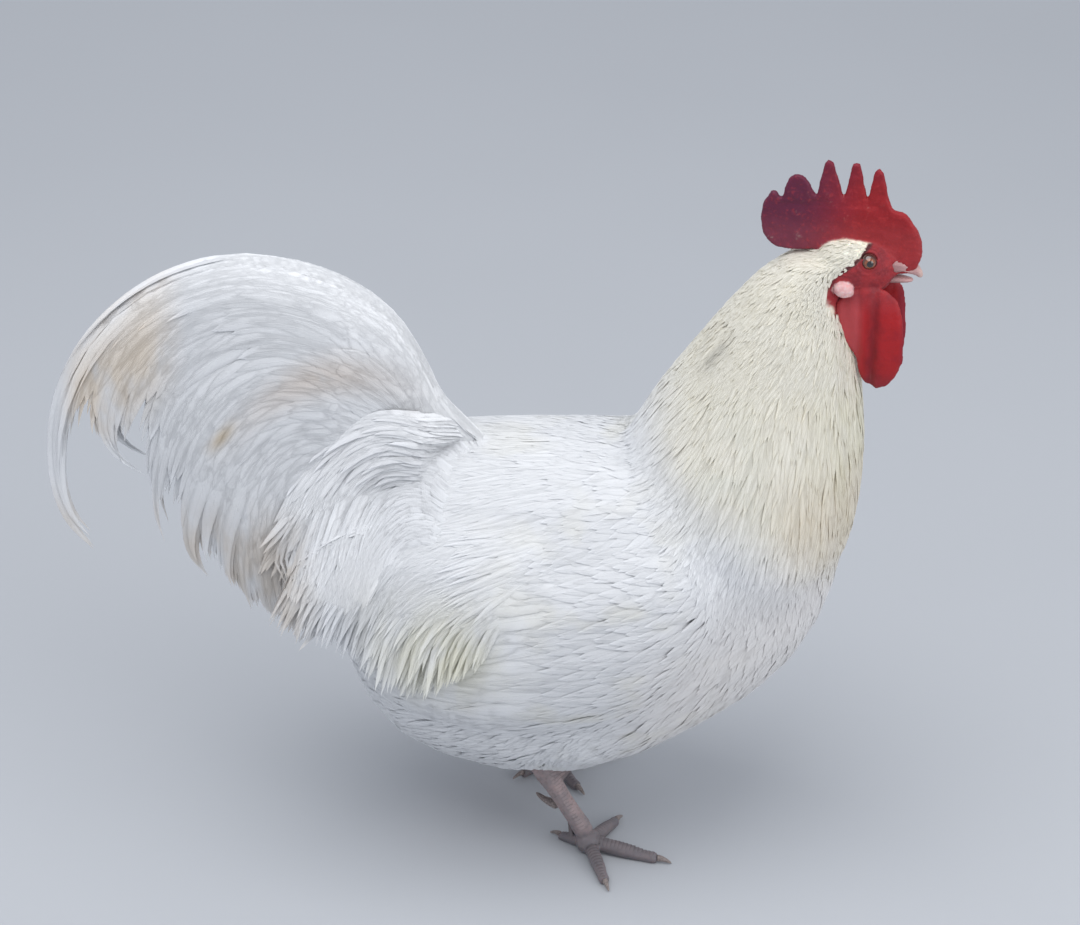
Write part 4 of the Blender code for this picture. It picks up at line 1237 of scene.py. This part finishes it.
def tail_feathers(name, arc, start, end, sign, width, layer, seed, steps, shape, section, drift=0.0, thick=0.04,
                  bend=0.10, sway=0.0, astride=False, over_body=False, twist=0.0):
    """Feathers that follow the tail's arcs, each on its own arc from start to end of its length, and
    drift inwards by some arcs. Astride they lie over the top, and over_body they lie on the body's coat
    too. With a twist they turn their flat side outwards where they hang free."""
    count = len(arc)
    chance = np.random.default_rng(seed)
    share = start[:, None] + (end - start)[:, None] * steps[None]
    turned = (twist * np.ones(count))[:, None] * smooth_step(0.25, 0.65, steps)[None]
    own = arc[:, None] + (drift * np.ones(count))[:, None] * steps[None] ** 2
    own += 0.05 * turned * smooth_step(1.0, 0.75, steps)
    own = np.minimum(own, np.where(arc < LAST_ARC + 0.5, LAST_ARC, LOBE_ARCS[1])[:, None])
    out = layer[:, None] * np.minimum(1, 0.25 + 1.2 * steps[None])
    lines = tail_places(own, share, sign, out)
    lines[..., 1] += sway * chance.normal(0, 1, count)[:, None] * steps[None] ** 2
    ups = tail_ups(own, share, sign)
    ups = unit(ups * (1 - turned[..., None]) + turned[..., None] * np.array((0.0, sign, 0.0)))
    if astride:
        flat = np.gradient(lines, axis=1) * (1, 0, 1)
        ups = unit(np.stack([flat[..., 2], 0 * flat[..., 1], -flat[..., 0]], -1))
        lines += ups * 0.0012
    if over_body:
        # they spring from the back's own coat, lie outside it, and fray along their upper edge
        fray = np.abs(chance.normal(0, 0.007, count)) * smooth_step(7.0, 6.2, arc)
        fray *= smooth_step(0.35, 0.60, end)
        lines += (fray[:, None] * steps[None] ** 2)[..., None] * np.array((-0.7, 0.0, 0.7))
        hits = [ground.tree.ray_cast((x, sign * 0.2, z), (0, -sign, 0))[0]
                for x, _, z in lines.reshape(-1, 3).tolist()]
        body = np.array([abs(hit[1]) if hit else 0.0 for hit in hits]).reshape(count, -1)
        for _ in range(2):
            body[:, 1:-1] = 0.5 * body[:, 1:-1] + 0.25 * (body[:, :-2] + body[:, 2:])
        free = smooth_step(0.0, 0.22, share)
        depth = 0.009 * (1 - smooth_step(0.0, 0.50, steps[None]))
        proud = 0.0014 + 0.0036 * smooth_step(0.05, 0.45, share) * smooth_step(9.0, 8.0, own)
        aside = np.abs(lines[..., 1]) * free + body * (1 - free)
        lines[..., 1] = sign * (np.maximum(body + proud, aside) - depth)
        ups = unit(ups + (0, 0, 0.55))
    width = width * (1 if section is SLIM else np.interp(arc, [0, 0.35, 0.7], [0.75, 0.75, 1.0]))
    half = outline(count, steps, shape) * width[:, None]
    curl = bend * (1 + (np.interp(own, [0, 0.3, 0.7, 1.4], [3.2, 3.0, 1.6, 1.0]) - 1) * (1 - turned))
    unwrap = np.stack([0.02 + 0.46 * arc / len(TAIL_ARCS) + (0.5 if sign > 0 else 0), 0.02 + 0.95 * start], 1)
    return feathers(name, lines, ups, half, half * thick + 0.00010, curl, chance.random(count), section, unwrap)


LONG_STEPS = np.array([0, 0.04, 0.10, 0.17, 0.25, 0.33, 0.41, 0.49, 0.57, 0.65, 0.73, 0.80, 0.87, 0.93, 0.975,
                       1.0])
SICKLE_STEPS = np.concatenate([np.linspace(0, 0.96, 33), [0.985, 1.0]])
LONG_SHAPE = [(0, 0.4), (0.10, 0.9), (0.3, 1.0), (0.6, 0.85), (0.8, 0.55), (0.94, 0.24), (1, 0)]
COVERT_STEPS = np.array([0, 0.08, 0.22, 0.38, 0.54, 0.70, 0.83, 0.93, 1.0])
COVERT_SHAPE = [(0, 0.35), (0.1, 0.7), (0.35, 1.0), (0.7, 0.88), (0.85, 0.62), (0.94, 0.32), (1, 0)]
MAIN_SHAPE = [(0, 0.3), (0.2, 0.8), (0.6, 1.0), (0.85, 0.95), (0.94, 0.7), (1, 0)]
# each sickle's arc, the share of it where the feather ends, and half its width
SICKLES = [(0.02, 1.0, 0.0125), (0.10, 0.985, 0.0105), (0.22, 0.74, 0.011), (0.30, 0.82, 0.011),
           (0.42, 0.80, 0.010), (0.97, 1.0, 0.0085), (1.04, 0.99, 0.0075), (1.12, 0.95, 0.009),
           (1.99, 1.0, 0.0055), (2.03, 0.96, 0.0075), (2.98, 1.0, 0.0095), (3.05, 0.99, 0.0085),
           (3.12, 0.96, 0.009), (4.0, 1.0, 0.0075), (4.06, 0.98, 0.0075), (4.5, 0.98, 0.007)]
TOP_SICKLES = 0.5  # those on an arc less than this spring late, from the crest of the tail
LONG_COUNT, LONG_TOP = 240, 45  # of which so many lie on the top, and as many again below
COVERT_COUNT, COVERT_TOP = 560, 90
LOBE_COUNT = 620
RIDGE_COUNT = 120
MAIN_COUNT = 24

tail_pieces = []
for side, sign in (("right", -1), ("left", 1)):
    chance = np.random.default_rng(71)
    # the under layers: long feathers, whose points make the hanging edge of the tail
    count, top = LONG_COUNT, LONG_TOP
    arc = np.where(np.arange(count) < top, chance.uniform(0.04, 0.8, count),
                   chance.uniform(0.0, LAST_ARC, count))
    arc[top:2 * top] = chance.uniform(3.4, LAST_ARC, top)
    end = np.interp(arc, *zip(*TAIL_ENDS)) - chance.uniform(0, 0.05, count)
    end[:top] -= chance.uniform(0.0, 0.30, top)
    start = np.maximum(0.02, end - chance.uniform(0.55, 0.80, count))
    width = np.interp(arc, [0, 1, 3, 5], [0.0085, 0.0085, 0.0075, 0.0055]) * chance.uniform(0.8, 1.15, count)
    layer = chance.uniform(0.0, 0.0015, count)
    tail_pieces.append(tail_feathers(f"tail_long_{side}", arc, start, end, sign, width, layer, 72, LONG_STEPS,
                                     LONG_SHAPE, BROAD, drift=0.10, sway=0.002))
    # the coverts: rows that start at the root and end further and further out
    count, top = COVERT_COUNT, COVERT_TOP
    arc = np.where(np.arange(count) < top, chance.uniform(0.0, 0.5, count),
                   chance.uniform(0.02, LAST_ARC, count))
    end = (0.16 + 0.80 * chance.random(count) ** 0.9) * np.interp(arc, *zip(*TAIL_ENDS))
    start = np.maximum(0.0, end - chance.uniform(0.22, 0.34, count))
    width = 0.0052 + 0.0034 * np.sin(np.pi * np.clip(end, 0, 1)) * chance.uniform(0.8, 1.2, count)
    width *= np.interp(arc, [0, 3.5, 5], [1, 0.9, 0.65])
    layer = 0.0016 + 0.0034 * (1 - end) + chance.uniform(0, 0.0003, count)
    tail_pieces.append(tail_feathers(f"tail_coverts_{side}", arc, start, end, sign, width, layer, 73,
                                     COVERT_STEPS, COVERT_SHAPE, BROAD, drift=0.14))
    # the sickles of this side, each on its own line; the two longest turn their flat side out
    arc, end, width = np.array(SICKLES).T
    start = np.where(arc < TOP_SICKLES, 0.42, 0.10)
    layer = np.where(arc < 0.3, 0.0004, np.where(arc < TOP_SICKLES, 0.0012, 0.0024))
    tail_pieces.append(tail_feathers(f"sickles_{side}", arc, start, end, sign, width, layer, 74, SICKLE_STEPS,
                                     LONG_SHAPE, BROAD, bend=0.11, twist=np.where(arc < 0.2, 0.85, 0.0)))
    # the lobe over the tail's root
    count = LOBE_COUNT
    arc = chance.uniform(*LOBE_ARCS, count)
    end = chance.uniform(0.16, 1.0, count)
    start = np.maximum(chance.uniform(0.0, 0.15, count) * end, end - chance.uniform(0.30, 0.42, count))
    width = chance.uniform(0.0024, 0.0036, count)
    layer = np.interp(arc, [6, 7.2], [0.0012, 0.0080]) + 0.0015 * (1 - end) + chance.uniform(0, 0.0006, count)
    tail_pieces.append(tail_feathers(f"rump_coverts_{side}", arc, start, end, sign, width, layer, 77,
                                     COVERT_STEPS, COVERT_SHAPE, SLIM, thick=0.08, sway=0.0008, over_body=True))
# the ridge: coverts that straddle the top and close the roof between the two sides
count = RIDGE_COUNT
chance = np.random.default_rng(76)
end = 0.08 + 0.74 * chance.random(count)
arc, width = chance.uniform(0, 0.05, count), chance.uniform(0.0065, 0.0095, count)
tail_pieces.append(tail_feathers("tail_ridge", arc, np.maximum(0.0, end - 0.22), end, -1, width,
                                 chance.uniform(-0.006, 0.001, count), 76, COVERT_STEPS, COVERT_SHAPE, BROAD,
                                 bend=0.12, astride=True))
# the main feathers, on edge in the middle
count = MAIN_COUNT
arc = np.linspace(0.35, 4.6, count)
end = np.interp(arc, *zip(*TAIL_ENDS)) * 0.90
tail_pieces.append(tail_feathers("tail_main", arc, np.full(count, 0.02), end, -1, np.full(count, 0.016),
                                 np.full(count, -0.010), 75, LONG_STEPS, MAIN_SHAPE, BROAD))
tail_paint = coat_paint("tail_white", Roughness=0.58)
for piece in tail_pieces:
    add_coat(piece, tail_paint)
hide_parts("tail")

# ---- Scutes of the shanks and toes --------------------------------------------------------------
# Small horny plates in one row down the front of each shank and along the top of each toe. Each is
# curved round the bone and lies a little over the next one, like tiles.
FOOT_CENTRES = {"right": (0.084, -0.057, 0.006), "left": (0.054, 0.057, 0.006)}
SHANK_TOPS = {"right": (0.050, -0.057, 0.076), "left": (0.020, 0.057, 0.076)}
SHANK_FOOT = 0.017  # how high the shank's own row ends
PLATE_PITCH = 0.0031
PLATE_THICK = 0.00028
PLATE_LEAN = 0.10
PLATE_STEPS = np.array([0, 0.06, 0.2, 0.4, 0.6, 0.8, 0.94, 1.0])
PLATE_SHAPE = [(0, 0.4), (0.06, 0.75), (0.25, 1.0), (0.75, 1.0), (0.94, 0.75), (1, 0.4)]

skin_tree = tree_on(skin)
scute_paint, place = new_paint("scute_horn", Specular_IOR_Level=0.35)
grain = place.noise(0.0016, 3.0)
edges = place.carried("vane")[1]
colour = layered(leg_colour(place), (abs(edges).fade(0.0009, 0.0016) * 0.55, (0.10, 0.085, 0.085)))
finish_paint(scute_paint, colour, 0.46 + 0.2 * grain, grain, 0.0003, 0.4)
for side, sign in (("right", -1), ("left", 1)):
    foot, top = np.array(FOOT_CENTRES[side]), np.array(SHANK_TOPS[side])
    way = unit(foot - top)
    # each row's start, its way, the way out of the leg, its length, and how far round the leg it goes
    rows = [(top, way, unit(np.array([-way[2], 0, way[0]])), np.linalg.norm(foot - top) - SHANK_FOOT, 1.15)]
    for toe in ("middle", "outer", "inner", "hind"):
        low_corner, high_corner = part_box(f"claw_{toe}_{side}")
        tip = np.array((low_corner + high_corner) / 2) * (1, 1, 0) + (0, 0, foot[2])
        way = unit(tip - foot)
        first = 0.010 if toe != "hind" else 0.013
        rows.append((foot + way * first, way, np.array([0.0, 0.0, 1.0]),
                     np.linalg.norm(tip - foot) - first - 0.0075, 1.0))
    lines, ups, half = [], [], []
    for start, way, out, length, span in rows:
        beside = np.cross(way, out)
        for number in range(int(length / PLATE_PITCH) + 1):
            middle = start + way * number * PLATE_PITCH
            angles = span * (2 * PLATE_STEPS - 1)[:, None]
            ways_out = out * np.cos(angles) + beside * np.sin(angles)
            hits = [skin_tree.ray_cast(Vector(middle + 0.03 * d), Vector(-d))[0] for d in ways_out]
            lines.append(np.array([tuple(hit) for hit in hits]) + ways_out * 0.00010)
            ups.append(unit(ways_out - way * PLATE_LEAN))
            half.append(np.interp(PLATE_STEPS, *zip(*PLATE_SHAPE)) * PLATE_PITCH * 0.60)
    lines, ups, half = np.array(lines), np.array(ups), np.array(half)
    tones = np.random.default_rng(81).random(len(lines))
    unwrap = unwrap_round(lines[:, 3], foot - (0.05, 0, 0), foot + (0.06, 0, 0.02))
    scutes = feathers(f"scutes_{side}", lines, ups, half, np.full_like(half, PLATE_THICK), np.zeros_like(half),
                      tones, BROAD, unwrap)
    scutes.data.materials.append(scute_paint)
    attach(scutes, "root")

# ---- Floor, light and camera --------------------------------------------------------------------
# A pale level floor with no edge in sight, painted lighter far out where the lamps' light falls off, a large
# soft lamp high on the left, a weak one on the right, and a camera that looks down on the bird's right side.
LAMPS_AIM = (0, 0, 0.3)
LOOKED_AT = Vector((0.04802, 0.0, 0.318))
CAMERA_AWAY = 2.5
CAMERA_HEIGHT = math.radians(30.0)

bpy.ops.object.select_all(action="DESELECT")
bpy.ops.mesh.primitive_plane_add(size=40)
floor = bpy.context.object
floor.name = "floor"
floor_paint, place = new_paint("floor_pale", Roughness=0.85, Specular_IOR_Level=0.2)
x, y, _ = place.parts()
finish_paint(floor_paint, layered(
    (0.49, 0.505, 0.53),
    (place.noise(0.5, 2.0), (0.46, 0.475, 0.50)),
    # painted light: the floor grows paler far out, where the lamps' light falls off
    ((x * x + y * y).fade(2.0, 16.0), (0.90, 0.90, 0.90))))
floor.data.materials.append(floor_paint)

world = bpy.data.worlds.new("studio")
bpy.context.scene.world = world
world.use_nodes = True
sky = world.node_tree.nodes["Background"].inputs
sky["Color"].default_value, sky["Strength"].default_value = (0.86, 0.91, 1.0, 1), 0.66
for name, place, size, power in (("key", (-0.3, -0.5, 2.7), 2.4, 48), ("fill", (1.7, -1.3, 1.2), 1.6, 16)):
    lamp = bpy.data.lights.new(name, "AREA")
    lamp.size, lamp.energy = size, power
    held = bpy.data.objects.new(name, lamp)
    held.location = place
    held.rotation_euler = (Vector(LAMPS_AIM) - Vector(place)).to_track_quat("-Z", "Y").to_euler()
    bpy.context.scene.collection.objects.link(held)

lens = bpy.data.cameras.new("camera")
lens.lens, lens.sensor_width = 110.83, 36.0
camera = bpy.data.objects.new("camera", lens)
camera.location = LOOKED_AT + CAMERA_AWAY * Vector((0, -math.cos(CAMERA_HEIGHT), math.sin(CAMERA_HEIGHT)))
camera.rotation_euler = (LOOKED_AT - camera.location).to_track_quat("-Z", "Y").to_euler()
bpy.context.scene.collection.objects.link(camera)
bpy.context.scene.camera = camera
bpy.context.scene.view_settings.view_transform = "Standard"

bpy.data.objects.remove(form)
